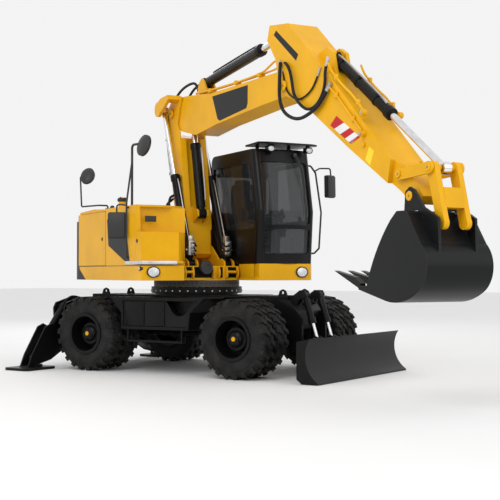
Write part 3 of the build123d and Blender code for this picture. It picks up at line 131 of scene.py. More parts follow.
class Finish:
    """A material being made: its shader and the nodes that feed it."""

    def __init__(self, name):
        self.material = FINISHES[name] = bpy.data.materials.new(name)
        self.material.use_nodes = True
        self.tree = self.material.node_tree
        self.shader = self.tree.nodes["Principled BSDF"]
        self.place = self.node("ShaderNodeTexCoord", {}, {}, "Object")

    def feed(self, socket, value):
        if isinstance(value, Socket):
            self.tree.links.new(value.output, socket)
        else:
            socket.default_value = value

    def node(self, kind, settings, inputs, output=0):
        made = self.tree.nodes.new(kind)
        for key, value in settings.items():
            setattr(made, key, value)
        for key, value in inputs.items():
            self.feed(made.inputs[key], value)
        return Socket(self, made.outputs[output])

    def set(self, **values):
        for name, value in values.items():
            self.feed(self.shader.inputs[name.replace("_", " ")], value)

    def noise(self, scale, detail=4, rough=0.5):
        values = {"Vector": self.place, "Scale": scale, "Detail": detail, "Roughness": rough}
        return self.node("ShaderNodeTexNoise", {}, values)

    def ramp(self, value, low, high):
        return self.node("ShaderNodeMapRange", {}, {"Value": value, "From Min": low, "From Max": high})

    def mix(self, factor, first, second):
        return self.node("ShaderNodeMix", {"data_type": "RGBA"}, {0: factor, 6: first, 7: second}, 2)

    def height(self):
        """The Z coordinate of the object's own space."""
        return self.node("ShaderNodeSeparateXYZ", {}, {0: self.place}, "Z")

    def edges(self, radius):
        """Near 1 along convex and concave edges, 0 on flat faces."""
        soft = self.node("ShaderNodeBevel", {"samples": 4}, {"Radius": radius})
        hard = self.node("ShaderNodeNewGeometry", {}, {}, "Normal")
        facing = self.node("ShaderNodeVectorMath", {"operation": "DOT_PRODUCT"}, {0: soft, 1: hard}, "Value")
        return self.ramp(1 - facing, 0.01, 0.2)

    def bump(self, height, strength, distance):
        return self.node("ShaderNodeBump", {}, {"Height": height, "Strength": strength, "Distance": distance})


def rgba(tone, scale=1):
    return (tone[0] * scale, tone[1] * scale, tone[2] * scale, 1)


def paint(name, tone, gloss, coat, dust=0):
    """Sprayed paint: slow changes of tone, orange peel, thin dust low down, and edges lightened partly as
    rubbed wear, partly as a painted highlight.
    """
    finish = Finish(name)
    cloud = finish.noise(2.3, 3)
    body = finish.mix(finish.ramp(cloud, 0.35, 0.65), rgba(tone, 0.93), rgba(tone, 1.04))
    speckle = finish.ramp(finish.noise(38, 6, 0.65), 0.45, 0.8)
    low = finish.ramp(finish.height(), 1.3, 0)
    film = speckle * low * dust
    body = finish.mix(film, body, DUST)
    # edges lightened towards a paler tone: partly rubbed wear, partly a painted highlight
    rub_and_highlight = finish.edges(0.006)
    body = finish.mix(rub_and_highlight * 0.18, body, rgba([0.5 * part + 0.18 for part in tone]))
    peel = finish.noise(420, 2)
    finish.set(
        Base_Color=body, Roughness=gloss + cloud * 0.06 + film * 0.5, Normal=finish.bump(peel, 0.05, 0.0006),
        Coat_Weight=coat, Coat_Roughness=0.12, Specular_IOR_Level=0.15)


def rubber(name, tone, dust):
    """Moulded rubber with grit and road dust."""
    finish = Finish(name)
    cloud = finish.noise(7, 5)
    grit = finish.noise(160, 5, 0.7)
    dusty = finish.ramp(cloud * 0.6 + grit * 0.4, 0.42, 0.72) * dust
    body = finish.mix(dusty, rgba(tone), ROAD_DUST)
    finish.set(
        Base_Color=body, Roughness=0.62 + dusty * 0.3, Normal=finish.bump(grit, 0.18, 0.0015),
        Specular_IOR_Level=0.2)


def metal(name, tone, roughness, brushed):
    """Bare or plated metal with a fine grain and faint stains."""
    finish = Finish(name)
    grain = finish.noise(brushed, 4)
    stain = finish.noise(9, 3)
    body = finish.mix(finish.ramp(stain, 0.4, 0.7), rgba(tone), rgba(tone, 0.82))
    finish.set(
        Base_Color=body, Metallic=1, Roughness=roughness + grain * 0.12,
        Normal=finish.bump(grain, 0.06, 0.0005))


def plastic(name, tone, roughness, grain):
    """Pebbled plastic."""
    finish = Finish(name)
    pebble = finish.noise(grain, 3)
    cloud = finish.noise(3, 2)
    body = finish.mix(cloud, rgba(tone, 0.9), rgba(tone, 1.15))
    finish.set(Base_Color=body, Roughness=roughness + pebble * 0.08, Normal=finish.bump(pebble, 0.25, 0.0006))


def tinted_glass(name, tone, alpha):
    """Dark glass that lets some of what is behind it through."""
    finish = Finish(name)
    haze = finish.noise(1.6, 2)
    body = finish.mix(haze, rgba(tone), rgba(tone, 1.5))
    finish.set(Base_Color=body, Roughness=0.03 + haze * 0.02, Alpha=alpha, IOR=1.5)


def glow(name, tone):
    """Lamp lens: ribbed and bright."""
    finish = Finish(name)
    ribs = finish.node("ShaderNodeTexVoronoi", {}, {"Vector": finish.place, "Scale": 90})
    finish.set(
        Base_Color=finish.mix(ribs, rgba(tone), rgba(tone, 0.6)), Roughness=0.1, Metallic=0.3,
        Normal=finish.bump(ribs, 0.5, 0.002), Coat_Weight=1)


def fabric(name, tone):
    """Woven seat cover."""
    finish = Finish(name)
    weave = finish.node(
        "ShaderNodeTexWave", {"wave_type": "BANDS"}, {"Vector": finish.place, "Scale": 160})
    fuzz = finish.noise(240, 3)
    body = finish.mix(fuzz, rgba(tone, 0.8), rgba(tone, 1.4))
    finish.set(Base_Color=body, Roughness=0.9, Normal=finish.bump(weave * 0.5 + fuzz * 0.5, 0.4, 0.001),
               Sheen_Weight=0.3)


def make_finishes():
    tones = bpy.context.scene.excavator_colours
    paint("yellow_paint", tones.yellow, 0.36, 0.04, 0.04)
    paint("black_paint", tones.black, 0.36, 0.04, 0.05)
    paint("cab_paint", tones.black, 0.28, 0.08)
    paint("grey_paint", tones.grey, 0.42, 0.04, 0.05)
    paint("bucket_paint", (0.007, 0.0075, 0.008), 0.34, 0.04, 0.05)
    paint("yellow_film", (0.95, 0.66, 0.03), 0.35, 0.04)
    paint("ring_grey", (0.075, 0.076, 0.08), 0.45, 0.04, 0.05)
    # near-black finish for painted shade in the pockets of the cross beam and the holes of the ring sleeve
    paint("painted_shade_black", (0.002, 0.002, 0.002), 0.6, 0)
    paint("red_film", tones.red, 0.35, 0.04)
    paint("white_film", tones.white, 0.35, 0.04)
    rubber("tyre_rubber", tones.rubber, 0.22)
    rubber("hose_rubber", (0.012, 0.012, 0.013), 0.1)
    metal("zinc_steel", tones.steel, 0.28, 120)
    metal("rod_chrome", (0.82, 0.82, 0.84), 0.06, 220)
    metal("worn_steel", (0.22, 0.21, 0.2), 0.38, 60)
    metal("step_aluminium", (0.75, 0.75, 0.76), 0.3, 90)
    metal("mirror_face", (0.9, 0.92, 0.95), 0.02, 30)
    plastic("black_plastic", (0.018, 0.018, 0.019), 0.45, 260)
    plastic("grey_plastic", (0.1, 0.105, 0.11), 0.5, 220)
    tinted_glass("window_glass", (0.02, 0.023, 0.025), 0.55)
    glow("lamp_lens", (0.85, 0.86, 0.88))
    fabric("seat_fabric", (0.035, 0.035, 0.04))


# ---- making pieces ----
NODE_ANGLE = 30     # degrees: faces of a CAD node that meet more sharply than this keep a sharp edge
PIECE_ANGLE = 35     # the same for the pieces made here
PIPE_BENDS = 8     # steps along a pipe, from one control point to the next
HOSE_BENDS = 10
MERGE = 1e-5     # points nearer than this are one


def plane_xz(y):
    """Place for an outline drawn in side view (x, z) at y; its depth runs to the left (+Y)."""
    return Matrix(((1, 0, 0, 0), (0, 0, 1, y), (0, 1, 0, 0), (0, 0, 0, 1)))


def along(start, end):
    """Place with its Z axis from start to end."""
    start, end = Vector(start), Vector(end)
    return Matrix.Translation(start) @ (end - start).to_track_quat("Z", "Y").to_matrix().to_4x4()


def tilted(spot, angle):
    """A turn about the Y axis through a spot."""
    spot = Vector(spot)
    return Matrix.Translation(spot) @ Matrix.Rotation(angle, 4, "Y") @ Matrix.Translation(-spot)


def around(count, radius, shift=0):
    """Points evenly spaced on a circle about the origin, in x and y."""
    for step in range(count):
        turn = math.tau * (step + shift) / count
        yield radius * math.cos(turn), radius * math.sin(turn)


def added(name, data):
    """A new object in the scene."""
    made = bpy.data.objects.new(name, data)
    bpy.context.scene.collection.objects.link(made)
    return made


def tube(points, radius, bends, roundness):
    """Mesh of a round tube along control points, or only its centre line if the radius is 0."""
    curve = bpy.data.curves.new("route", "CURVE")
    curve.dimensions = "3D"
    spline = curve.splines.new("NURBS")
    spline.points.add(len(points) - 1)
    for point, spot in zip(spline.points, points):
        point.co = (*spot, 1)
    spline.order_u = 3
    spline.use_endpoint_u = True
    spline.resolution_u = bends
    curve.bevel_depth = radius
    curve.bevel_resolution = roundness
    curve.use_fill_caps = radius > 0
    holder = bpy.data.objects.new("route", curve)
    mesh = bpy.data.meshes.new_from_object(holder)
    bpy.data.objects.remove(holder)
    bpy.data.curves.remove(curve)
    return mesh


def settle(name, shape, body, finishes, angle, rounding):
    """Turns a finished bmesh into an object that rides on a body."""
    mesh = bpy.data.meshes.new(name)
    shape.to_mesh(mesh)
    shape.free()
    for finish in finishes:
        mesh.materials.append(FINISHES[finish])
    mesh.shade_smooth()
    mesh.set_sharp_from_angle(angle=math.radians(angle))
    made = added(name, mesh)
    if rounding:
        modifier = made.modifiers.new("Rounding", "BEVEL")
        modifier.width = rounding
        modifier.segments = 2
        modifier.limit_method = "ANGLE"
        modifier.angle_limit = math.radians(angle)
        modifier.harden_normals = True
    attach(made, body)
    return made


class Shape:
    """A mesh being built from bmesh operators. The index is the face's place among the finishes."""

    def __init__(self):
        self.mesh = bmesh.new()

    def keep(self, verts, place, index):
        if place is not None:
            bmesh.ops.transform(self.mesh, matrix=place, verts=verts)
        for face in {face for vert in verts for face in vert.link_faces}:
            face.material_index = index
        return self

    def box(self, low, high, edge=0, index=0, place=None):
        centre = (Vector(low) + Vector(high)) / 2
        scale = Matrix.Diagonal((*(Vector(high) - Vector(low)), 1))
        verts = bmesh.ops.create_cube(self.mesh, matrix=Matrix.Translation(centre) @ scale)["verts"]
        if edge:
            sides = dict.fromkeys(line for vert in verts for line in vert.link_edges)
            made = bmesh.ops.bevel(
                self.mesh, geom=list(sides), offset=edge, affect="EDGES", segments=2, profile=0.5,
                material=-1)
            verts = list({vert for face in made["faces"] for vert in face.verts}
                         | {vert for vert in verts if vert.is_valid})
        return self.keep(verts, place, index)

    def rod(self, start, end, radius, steps=20, index=0):
        length = (Vector(end) - Vector(start)).length
        made = bmesh.ops.create_cone(
            self.mesh, cap_ends=True, segments=steps, radius1=radius, radius2=radius, depth=length,
            matrix=Matrix.Translation((0, 0, length / 2)))
        return self.keep(made["verts"], along(start, end), index)

    def bolts(self, count, radius, low, high, size, shift=0):
        """Hexagons in a circle about the Z axis, each turned with its place in the circle.

        What turns is the mesh's last twelve points. After a turned shape these aren't all the hexagon's
        own, so the second circle of a hub is uneven.
        """
        for step in range(count):
            spin = Matrix.Rotation(math.tau * (step + shift) / count, 4, "Z")
            self.rod((radius, 0, low), (radius, 0, high), size, 6)
            bmesh.ops.transform(self.mesh, matrix=spin, verts=self.mesh.verts[-12:])
        return self

    def plate(self, outline, place, depth, index=0):
        corners = [self.mesh.verts.new((x, y, 0)) for x, y in outline]
        face = self.mesh.faces.new(corners)
        made = bmesh.ops.extrude_face_region(self.mesh, geom=[face])
        raised = [item for item in made["geom"] if isinstance(item, bmesh.types.BMVert)]
        bmesh.ops.translate(self.mesh, verts=raised, vec=(0, 0, depth))
        return self.keep(corners + raised, place, index)

    def lathe(self, profile, place, steps=40, index=0):
        """Closed profile of (radius, height) turned about the place's Z axis."""
        ring = [self.mesh.verts.new((radius, 0, height)) for radius, height in profile]
        edges = [self.mesh.edges.new((a, b)) for a, b in zip(ring, ring[1:] + ring[:1])]
        before = set(self.mesh.verts) - set(ring)
        bmesh.ops.spin(self.mesh, geom=ring + edges, cent=(0, 0, 0), axis=(0, 0, 1), angle=math.tau,
                       steps=steps, use_merge=True)
        verts = [vert for vert in self.mesh.verts if vert not in before]
        bmesh.ops.remove_doubles(self.mesh, verts=verts, dist=MERGE)
        return self.keep([vert for vert in verts if vert.is_valid], place, index)

    def pipe(self, route, radius):
        """Round tube along a smooth route."""
        mesh = tube(route, radius, PIPE_BENDS, 2)
        self.mesh.from_mesh(mesh)
        bpy.data.meshes.remove(mesh)
        return self

    def piece(self, name, body, *finishes, slot=None, place=UPPER, rounding=0, angle=PIECE_ANGLE):
        """Turns the shape into an object that rides on a body."""
        if place is not None:
            bmesh.ops.transform(self.mesh, matrix=place, verts=self.mesh.verts)
        bmesh.ops.recalc_face_normals(self.mesh, faces=self.mesh.faces)
        return settle(name, self.mesh, body, finishes, angle, rounding)


def dress(node, finish, rounding=None, slot=None):
    """Stands in for a CAD node: the same shape with its plate edges rounded."""
    copy = bmesh.new()
    copy.from_mesh(frame["nodes"][node].data)
    bmesh.ops.remove_doubles(copy, verts=copy.verts, dist=MERGE)
    bmesh.ops.dissolve_limit(copy, angle_limit=math.radians(1), verts=copy.verts, edges=copy.edges)
    body = next(name for name, nodes in frame["record"]["behaviour"]["bodies"].items() if node in nodes)
    made = settle(f"{node}_dressed", copy, body, [finish], NODE_ANGLE, rounding or sizes().edge)
    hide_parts(node)


def finish_node(node, finish):
    """Gives a CAD node its finish as it stands."""
    mesh = frame["nodes"][node].data
    mesh.materials.clear()
    mesh.materials.append(FINISHES[finish])


# ---- steelwork ----
# Each finish's nodes, with their edge rounding where it isn't that of the settings, and their own slot.
STEELWORK = {
    "black_paint": (
        ("chassis_frame",), ("tool_boxes", 0.01), ("slew_ring", 0.004), ("front_axle",), ("rear_axle",),
        ("drive_shafts",), ("stabiliser_frame",), ("blade", 0.005), ("blade_ram_barrels", 0.003)),
    "yellow_paint": (
        ("upper_deck",), ("engine_housing", 0.012), ("hood_lid", 0.01), ("side_door_right", 0.008),
        ("side_door_left", 0.008), ("base_boom",), ("upper_boom", 0.01), ("dipper", 0.008),
        ("tipping_levers", 0.004), ("tipping_link", 0.005)),
    "grey_paint": (("counterweight", 0.03),),
    "cab_paint": (("cab_frame", 0.012), ("cab_door", 0.008), ("cab_visor", 0.008)),
    "grey_plastic": (("cab_consoles", 0.008),),
    "bucket_paint": (("bucket", 0.004), ("bucket_teeth", 0.004, "tooth_steel")),
}
RAMS = ("lift_ram", "positioning_ram", "dipper_ram", "bucket_ram")
SMALL_ROUNDING = 0.003     # of castings, rams and mirror heads


class EXCAVATOR_OT_steelwork(bpy.types.Operator):
    """Round the plate edges of the frame's nodes and paint them"""

    bl_idname = "excavator.steelwork"
    bl_label = "Steelwork"

    def execute(self, context):
        for finish, nodes in STEELWORK.items():
            for node, *rest in nodes:
                dress(node, finish, *rest)
        for node, finish in (("engine_block", "worn_steel"), ("cab_glass", "window_glass"),
                             ("door_glass", "window_glass"), ("blade_ram_rods", "rod_chrome")):
            finish_node(node, finish)
        for ram in RAMS:
            dress(f"{ram}_barrel", "black_paint", SMALL_ROUNDING)
            finish_node(f"{ram}_rod", "rod_chrome")
        for side, _ in SIDES:
            dress(f"stabiliser_leg_{side}", "black_paint", 0.004)
            finish_node(f"stabiliser_rod_{side}", "rod_chrome")
            for node in ("stabiliser_barrel", "knuckle", "wheel_front", "wheel_rear"):
                dress(f"{node}_{side}", "black_paint", SMALL_ROUNDING)
        return {"FINISHED"}


# ---- tyres and wheels ----
TYRE_MIDDLES = (1.1275, 0.8025)
TYRE_WIDTH = 0.275
WALL_RINGS = ((0.302, 0.013), (0.345, 0.0075), (0.405, 0.0045))     # radius, how far inside the tyre's width
HUB_FACE = 1     # distance of the hubs' origin from the centre


def wall_rings(body, x, sign):
    """Raised rings on both walls of each tyre."""
    shape = Shape()
    for middle in TYRE_MIDDLES:
        place = Matrix.Translation((x, sign * middle, AXLE_HEIGHT)) @ Matrix.Rotation(math.pi / 2, 4, "X")
        for radius, inset in WALL_RINGS:
            for face in SIGNS:
                foot = face * (TYRE_WIDTH / 2 - inset - 0.004)
                top = face * (TYRE_WIDTH / 2 - inset + 0.003)
                shape.lathe(((radius, foot), (radius + 0.003, top), (radius + 0.01, top),
                             (radius + 0.014, foot)), place, 64)
    shape.piece(f"{body}_wall_rings", body, "tyre_rubber", place=None)


def hub(body, x, sign):
    """Wheel nuts, drive cover with its bolts and the yellow cap."""
    place = (Matrix.Translation((x, sign * HUB_FACE, AXLE_HEIGHT))
             @ Matrix.Rotation(-sign * math.pi / 2, 4, "X"))
    shape = Shape().bolts(10, 0.138, 0, 0.03, 0.014)
    shape.lathe(((0, 0.148), (0.098, 0.148), (0.112, 0.165), (0.092, 0.192), (0.045, 0.208), (0, 0.208)),
                None, 36)
    shape.bolts(8, 0.074, 0.19, 0.205, 0.008, 0.5)
    shape.lathe(((0, 0.2), (0.03, 0.2), (0.03, 0.214), (0.022, 0.22), (0, 0.22)), None, 24, 1)
    shape.piece(f"{body}_nuts", body, "black_paint", "yellow_paint", place=place)


class EXCAVATOR_OT_tyres(bpy.types.Operator):
    """Twin tyres with moulded rings on their walls, and the nuts and caps of the wheels"""

    bl_idname = "excavator.tyres"
    bl_label = "Tyres"

    def execute(self, context):
        for end, x in (("front", FRONT_AXLE), ("rear", REAR_AXLE)):
            for side, sign in SIDES:
                body = f"wheel_{end}_{side}"
                dress(f"tyres_{end}_{side}", "tyre_rubber", 0.005)
                wall_rings(body, x, sign)
                hub(body, x, sign)
        return {"FINISHED"}


# ---- hydraulic hoses and pipes ----
HOSES = (
    # name, bodies at its two ends, radius, points in the upper frame
    ("dipper_hose_outer", "upper_boom", "dipper", 0.021,
     ((2.86, -0.2, 3.935), (2.93, -0.245, 3.9), (2.94, -0.262, 3.7), (2.94, -0.265, 3.45),
      (3.06, -0.265, 3.27), (3.38, -0.265, 3.15), (3.69, -0.262, 3.2), (3.88, -0.258, 3.29),
      (3.97, -0.25, 3.38), (4.02, -0.232, 3.45))),
    ("dipper_hose_inner", "upper_boom", "dipper", 0.018,
     ((2.86, -0.15, 3.925), (3.02, -0.23, 3.9), (3.16, -0.246, 3.79), (3.22, -0.25, 3.63),
      (3.26, -0.25, 3.47), (3.42, -0.25, 3.32), (3.6, -0.25, 3.24), (3.78, -0.25, 3.27),
      (3.91, -0.25, 3.37), (3.965, -0.246, 3.5), (3.95, -0.242, 3.64), (3.975, -0.226, 3.74))),
    ("dipper_hose_thin", "upper_boom", "dipper", 0.011,
     ((2.88, -0.186, 3.83), (2.94, -0.212, 3.8), (2.99, -0.222, 3.66), (3.08, -0.226, 3.51),
      (3.33, -0.226, 3.39), (3.58, -0.226, 3.44), (3.72, -0.226, 3.54), (3.79, -0.222, 3.66))),
    ("dipper_hose_left", "upper_boom", "dipper", 0.021,
     ((2.86, 0.2, 3.935), (2.95, 0.245, 3.89), (3, 0.262, 3.7), (3.04, 0.265, 3.48), (3.18, 0.265, 3.3),
      (3.42, 0.265, 3.22), (3.66, 0.262, 3.25), (3.86, 0.258, 3.34), (3.96, 0.25, 3.45), (4, 0.232, 3.54))),
    ("knuckle_hose_right", "base_boom", "upper_boom", 0.019,
     ((-0.585, -0.1, 3.955), (-0.46, -0.1, 4.03), (-0.28, -0.09, 4.1), (-0.06, -0.08, 4.13),
      (0.1, -0.075, 4.12), (0.2, -0.07, 4.02), (0.24, -0.07, 3.925))),
    ("knuckle_hose_left", "base_boom", "upper_boom", 0.019,
     ((-0.585, 0.1, 3.955), (-0.46, 0.1, 4.04), (-0.28, 0.1, 4.12), (-0.08, 0.12, 4.16), (0.12, 0.14, 4.14),
      (0.26, 0.15, 4.04), (0.32, 0.15, 3.93))),
    ("foot_hose_right", "upper", "base_boom", 0.018,
     ((0.3, -0.46, 1.62), (0.31, -0.46, 1.74), (0.24, -0.455, 1.95), (0.08, -0.44, 2.18),
      (-0.08, -0.41, 2.36), (-0.19, -0.34, 2.48), (-0.21, -0.27, 2.5), (-0.2, -0.228, 2.56))),
    ("foot_hose_outer", "upper", "base_boom", 0.018,
     ((0.2, -0.5, 1.62), (0.2, -0.5, 1.76), (0.12, -0.495, 1.98), (-0.03, -0.47, 2.16), (-0.17, -0.42, 2.3),
      (-0.27, -0.34, 2.4), (-0.29, -0.26, 2.44), (-0.26, -0.228, 2.5))),
    ("foot_hose_left", "upper", "base_boom", 0.018,
     ((0.08, 0.375, 1.62), (0.08, 0.33, 1.66), (0.05, 0.315, 1.8), (-0.06, 0.31, 2.02), (-0.17, 0.3, 2.22),
      (-0.24, 0.27, 2.38), (-0.22, 0.24, 2.48), (-0.2, 0.228, 2.56))),
)
PIPES = (
    # name, body, finish, radius, mirrored, routes in the upper frame
    ("boom_top_pipes", "upper_boom", "yellow_paint", 0.014, True, (
        ((0.24, 0.07, 3.93), (0.45, 0.1, 3.945), (0.8, 0.13, 3.9), (1.6, 0.13, 3.885), (2.5, 0.13, 3.885),
         (2.75, 0.14, 3.9), (2.86, 0.17, 3.93)),
        ((0.32, 0.16, 3.93), (0.8, 0.166, 3.895), (2.3, 0.166, 3.875), (2.55, 0.17, 3.95),
         (2.72, 0.185, 3.985), (2.86, 0.2, 3.94)))),
    ("dipper_side_pipes", "dipper", "yellow_paint", 0.013, True, (
        ((3.975, 0.226, 3.74), (4.03, 0.222, 3.655), (4.08, 0.222, 3.6), (4.3, 0.222, 3.415),
         (4.52, 0.222, 3.27), (4.7, 0.222, 3.09)),
        ((4.02, 0.232, 3.45), (4.09, 0.222, 3.395), (4.3, 0.222, 3.21), (4.52, 0.222, 3.01),
         (4.66, 0.222, 2.885)))),
    ("column_rear_pipes", "base_boom", "zinc_steel", 0.015, True, (
        ((-0.2, 0.228, 2.56), (-0.285, 0.235, 2.66), (-0.4, 0.25, 3), (-0.51, 0.245, 3.5), (-0.6, 0.2, 3.8),
         (-0.61, 0.13, 3.92), (-0.585, 0.1, 3.955)),
        ((-0.26, 0.225, 2.5), (-0.33, 0.235, 2.7), (-0.44, 0.25, 3), (-0.55, 0.245, 3.48),
         (-0.595, 0.23, 3.66)))),
    ("dipper_ram_pipe", "dipper_barrel", "black_paint", 0.012, False, (
        ((0.5, 0.03, 4.215), (0.56, 0.03, 4.225), (1.2, 0.03, 4.29), (1.85, 0.03, 4.352),
         (1.92, 0.03, 4.345)),)),
    ("bucket_ram_pipe", "bucket_barrel", "zinc_steel", 0.011, False, (
        ((3.905, -0.03, 3.845), (3.96, -0.03, 3.825), (4.4, -0.03, 3.512), (4.82, -0.03, 3.205),
         (4.85, -0.03, 3.16)),)),
    ("lift_ram_pipes", "lift_barrels", "zinc_steel", 0.01, True, (
        ((0.435, 0.286, 1.62), (0.405, 0.286, 1.72), (0.1, 0.286, 2.44), (-0.03, 0.286, 2.745),
         (-0.06, 0.286, 2.74)),)),
    ("positioning_ram_pipe", "positioning_barrel", "zinc_steel", 0.01, False, (
        ((0.225, 0.03, 2.42), (0.232, 0.03, 2.5), (0.165, 0.03, 2.85), (0.105, 0.03, 3.15),
         (0.08, 0.03, 3.19)),)),
)
BOOM_PIPES_Y = 0.148     # distances from the centre plane
COLUMN_PIPES_Y = 0.228
DIPPER_SIDE = 0.208
BOOM_SIDE = 0.18
BUCKET_RAM = ((3.783, 0, 3.846), (2, 0, -1.448))     # where its barrel starts, and its direction
RAM_BANDS = (0.2, 0.62, 1.05)


def hose(name, body, far_body, radius, points):
    """A hose along its points, with crimped ends that ride on the two bodies it joins."""
    points = [UPPER @ Vector(point) for point in points]
    line = tube(points, 0, HOSE_BENDS, 0)
    path = [vert.co.copy() for vert in line.vertices]
    bpy.data.meshes.remove(line)
    mesh = tube(points, radius, HOSE_BENDS, 4)
    mesh.name = name
    mesh.materials.append(FINISHES["hose_rubber"])
    mesh.shade_smooth()
    made = added(name, mesh)
    2 * radius
    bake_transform(made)
    for end, (tip, following), carrier in (("start", path[:2], body), ("end", path[:-3:-1], far_body)):
        inward = (following - tip).normalized()
        shape = Shape().rod(tip - inward * 0.03, tip + inward * 0.055, radius * 1.18, 18)
        shape.rod(tip - inward * 0.052, tip - inward * 0.012, radius * 1.35, 6)
        shape.piece(f"{name}_{end}", carrier, "zinc_steel", place=None, rounding=0.002)


class EXCAVATOR_OT_hoses(bpy.types.Operator):
    """Hydraulic hoses across the boom's and the dipper's joints"""

    bl_idname = "excavator.hoses"
    bl_label = "Hoses"

    def execute(self, context):
        for row in HOSES:
            hose(*row)
        return {"FINISHED"}


def clips():
    """Saddles that hold the pipes of the boom and its column, and bands round the bucket's ram."""
    boom, column, bands = Shape(), Shape(), Shape()
    for s in SIGNS:
        y = s * BOOM_PIPES_Y
        for x, z in ((0.82, 3.865), (1.6, 3.852), (2.26, 3.846)):
            boom.box((x - 0.03, y - 0.045, z), (x + 0.03, y + 0.045, z + 0.055), 0.006)
        y = s * COLUMN_PIPES_Y
        for x, z in ((-0.36, 2.84), (-0.5, 3.36)):
            column.box((x - 0.075, y - 0.022, z - 0.025), (x + 0.02, y + 0.045, z + 0.025), 0.006)
    boom.piece("boom_pipe_clips", "upper_boom", "yellow_paint")
    column.piece("column_pipe_clips", "base_boom", "black_paint")
    base, run = Vector(BUCKET_RAM[0]), Vector(BUCKET_RAM[1]).normalized()
    for share in RAM_BANDS:
        spot = base + run * share
        bands.lathe(((0.0625, -0.022), (0.069, -0.022), (0.069, 0.022), (0.0625, 0.022)),
                    along(spot, spot + run), 36)
    bands.piece("bucket_ram_bands", "bucket_barrel", "black_paint", rounding=0.003)


def dipper_bosses():
    """Saddles and capped bosses on both sides of the dipper."""
    bosses, plugs = Shape(), Shape()
    for s in SIGNS:
        for x, z in ((4.16, 3.535), (4.6, 3.195), (4.16, 3.335), (4.5, 3.03)):
            bosses.box((x - 0.03, s * DIPPER_SIDE - 0.004, z - 0.03), (x + 0.03, s * 0.237, z + 0.03), 0.005)
        for x, z, radius, reach in ((4.715, 3.07, 0.036, 0.262), (4.7, 2.845, 0.032, 0.262),
                                    (4.69, 2.73, 0.026, 0.232)):
            bosses.rod((x, s * 0.205, z), (x, s * reach, z), radius, 24)
        plugs.rod((4.715, s * 0.258, 3.07), (4.715, s * 0.272, 3.07), 0.02, 6)
        plugs.rod((4.7, s * 0.258, 2.845), (4.7, s * 0.285, 2.845), 0.018, 6)
    bosses.piece("dipper_bosses", "dipper", "yellow_paint", rounding=0.003)
    plugs.piece("dipper_plugs", "dipper", "zinc_steel", rounding=0.002)


class EXCAVATOR_OT_pipes(bpy.types.Operator):
    """Steel pipes along the boom, the dipper and the rams, with their clips"""

    bl_idname = "excavator.pipes"
    bl_label = "Pipes"

    def execute(self, context):
        for name, body, finish, radius, mirrored, routes in PIPES:
            shape = Shape()
            for route in routes:
                for s in SIGNS if mirrored else (1,):
                    shape.pipe([(x, s * y, z) for x, y, z in route], radius)
            shape.piece(name, body, finish, slot="black_paint" if finish == "zinc_steel" else None)
        clips()
        dipper_bosses()
        return {"FINISHED"}


# ---- marks and trim on the arm ----
FILM_THICKNESS = 0.0012
FILM_SINK = 0.0005     # how far a film reaches into the plate below it
STRIPE_START = ((4.112, 3.127), (4.009, 3.02))
STRIPE_END = ((4.577, 2.842), (4.499, 2.726))
STRIPES = (
    # finish, shares of the band's length where the corners stand: top, low, low, top
    ("red_film", 0.06, 0, 0.17, 0.39), ("white_film", 0.39, 0.17, 0.42, 0.64),
    ("red_film", 0.64, 0.42, 0.62, 0.84), ("white_film", 0.84, 0.62, 0.86, 1),
    ("red_film", 1.08, 0.86, 0.78, 1),
)
FILMS = (
    # name, body, finish, distance from the centre plane, outline
    ("boom_badge", "upper_boom", "grey_paint", BOOM_SIDE,
     ((0.895, 3.8), (1.955, 3.795), (1.952, 3.56), (1.915, 3.5), (1.13, 3.435), (1.06, 3.47))),
    ("dipper_badge", "dipper", "grey_paint", DIPPER_SIDE,
     ((2.7, 4.29), (2.76, 4.335), (3.3, 3.945), (3.245, 3.88))),
    ("dipper_plate", "dipper", "yellow_film", DIPPER_SIDE,
     ((4.78, 2.7), (4.87, 2.65), (4.8, 2.5), (4.71, 2.57))),
)
HOOD_BADGE = ((-0.36, 2.135), (-0.05, 2.19), (0.2, 2.165), (0.4, 1.95), (0.53, 1.535), (0.44, 1.5),
              (-0.3, 1.76))


def film(name, body, finish, corners, y):
    """A thin film or plate on the right or left side, drawn in side view."""
    sign = 1 if y > 0 else -1
    shape = Shape().plate(corners, plane_xz(y - sign * FILM_SINK), sign * (FILM_THICKNESS + FILM_SINK))
    shape.piece(name, body, finish)


def band(share):
    """The two points across the striped band, a share of the way along it."""
    pairs = zip(STRIPE_START, STRIPE_END)
    return [tuple(a + (b - a) * share for a, b in zip(start, end)) for start, end in pairs]


class EXCAVATOR_OT_marks(bpy.types.Operator):
    """Striped bands and bare badge plates"""

    bl_idname = "excavator.marks"
    bl_label = "Marks"

    def execute(self, context):
        for side, sign in SIDES:
            for index, (finish, top, low, low_end, top_end) in enumerate(STRIPES):
                corners = (band(top)[0], band(low)[1], band(low_end)[1], band(top_end)[0])
                film(f"stripe_{side}_{index}", "dipper", finish, corners, sign * DIPPER_SIDE)
            for name, body, finish, y, outline in FILMS:
                film(f"{name}_{side}", body, finish, outline, sign * y)
        film("hood_badge", "upper", "grey_paint", HOOD_BADGE, -1.2455)
        return {"FINISHED"}


# ---- mirrors and rails ----
MIRRORS = (
    # centre, direction of the glass, width, height, half thickness of the head, oval
    ((0.5, -1.03, 3.12), (-0.18, 0.95, -0.22), 0.3, 0.3, 0.014, True),
    ((0.385, -1.372, 2.02), (-0.86, 0.5, 0.02), 0.25, 0.36, 0.016, False),
    ((-0.92, -1.345, 2.8), (-0.62, 0.5, -0.45), 0.21, 0.27, 0.014, True),
    ((1.175, 1.54, 2.6), (-0.93, -0.36, -0.02), 0.19, 0.32, 0.024, False),
)
MAST_FEET = ((0.24, -1.1, 0.042), (-0.51, -1.18, 0.034))     # x, y, half width


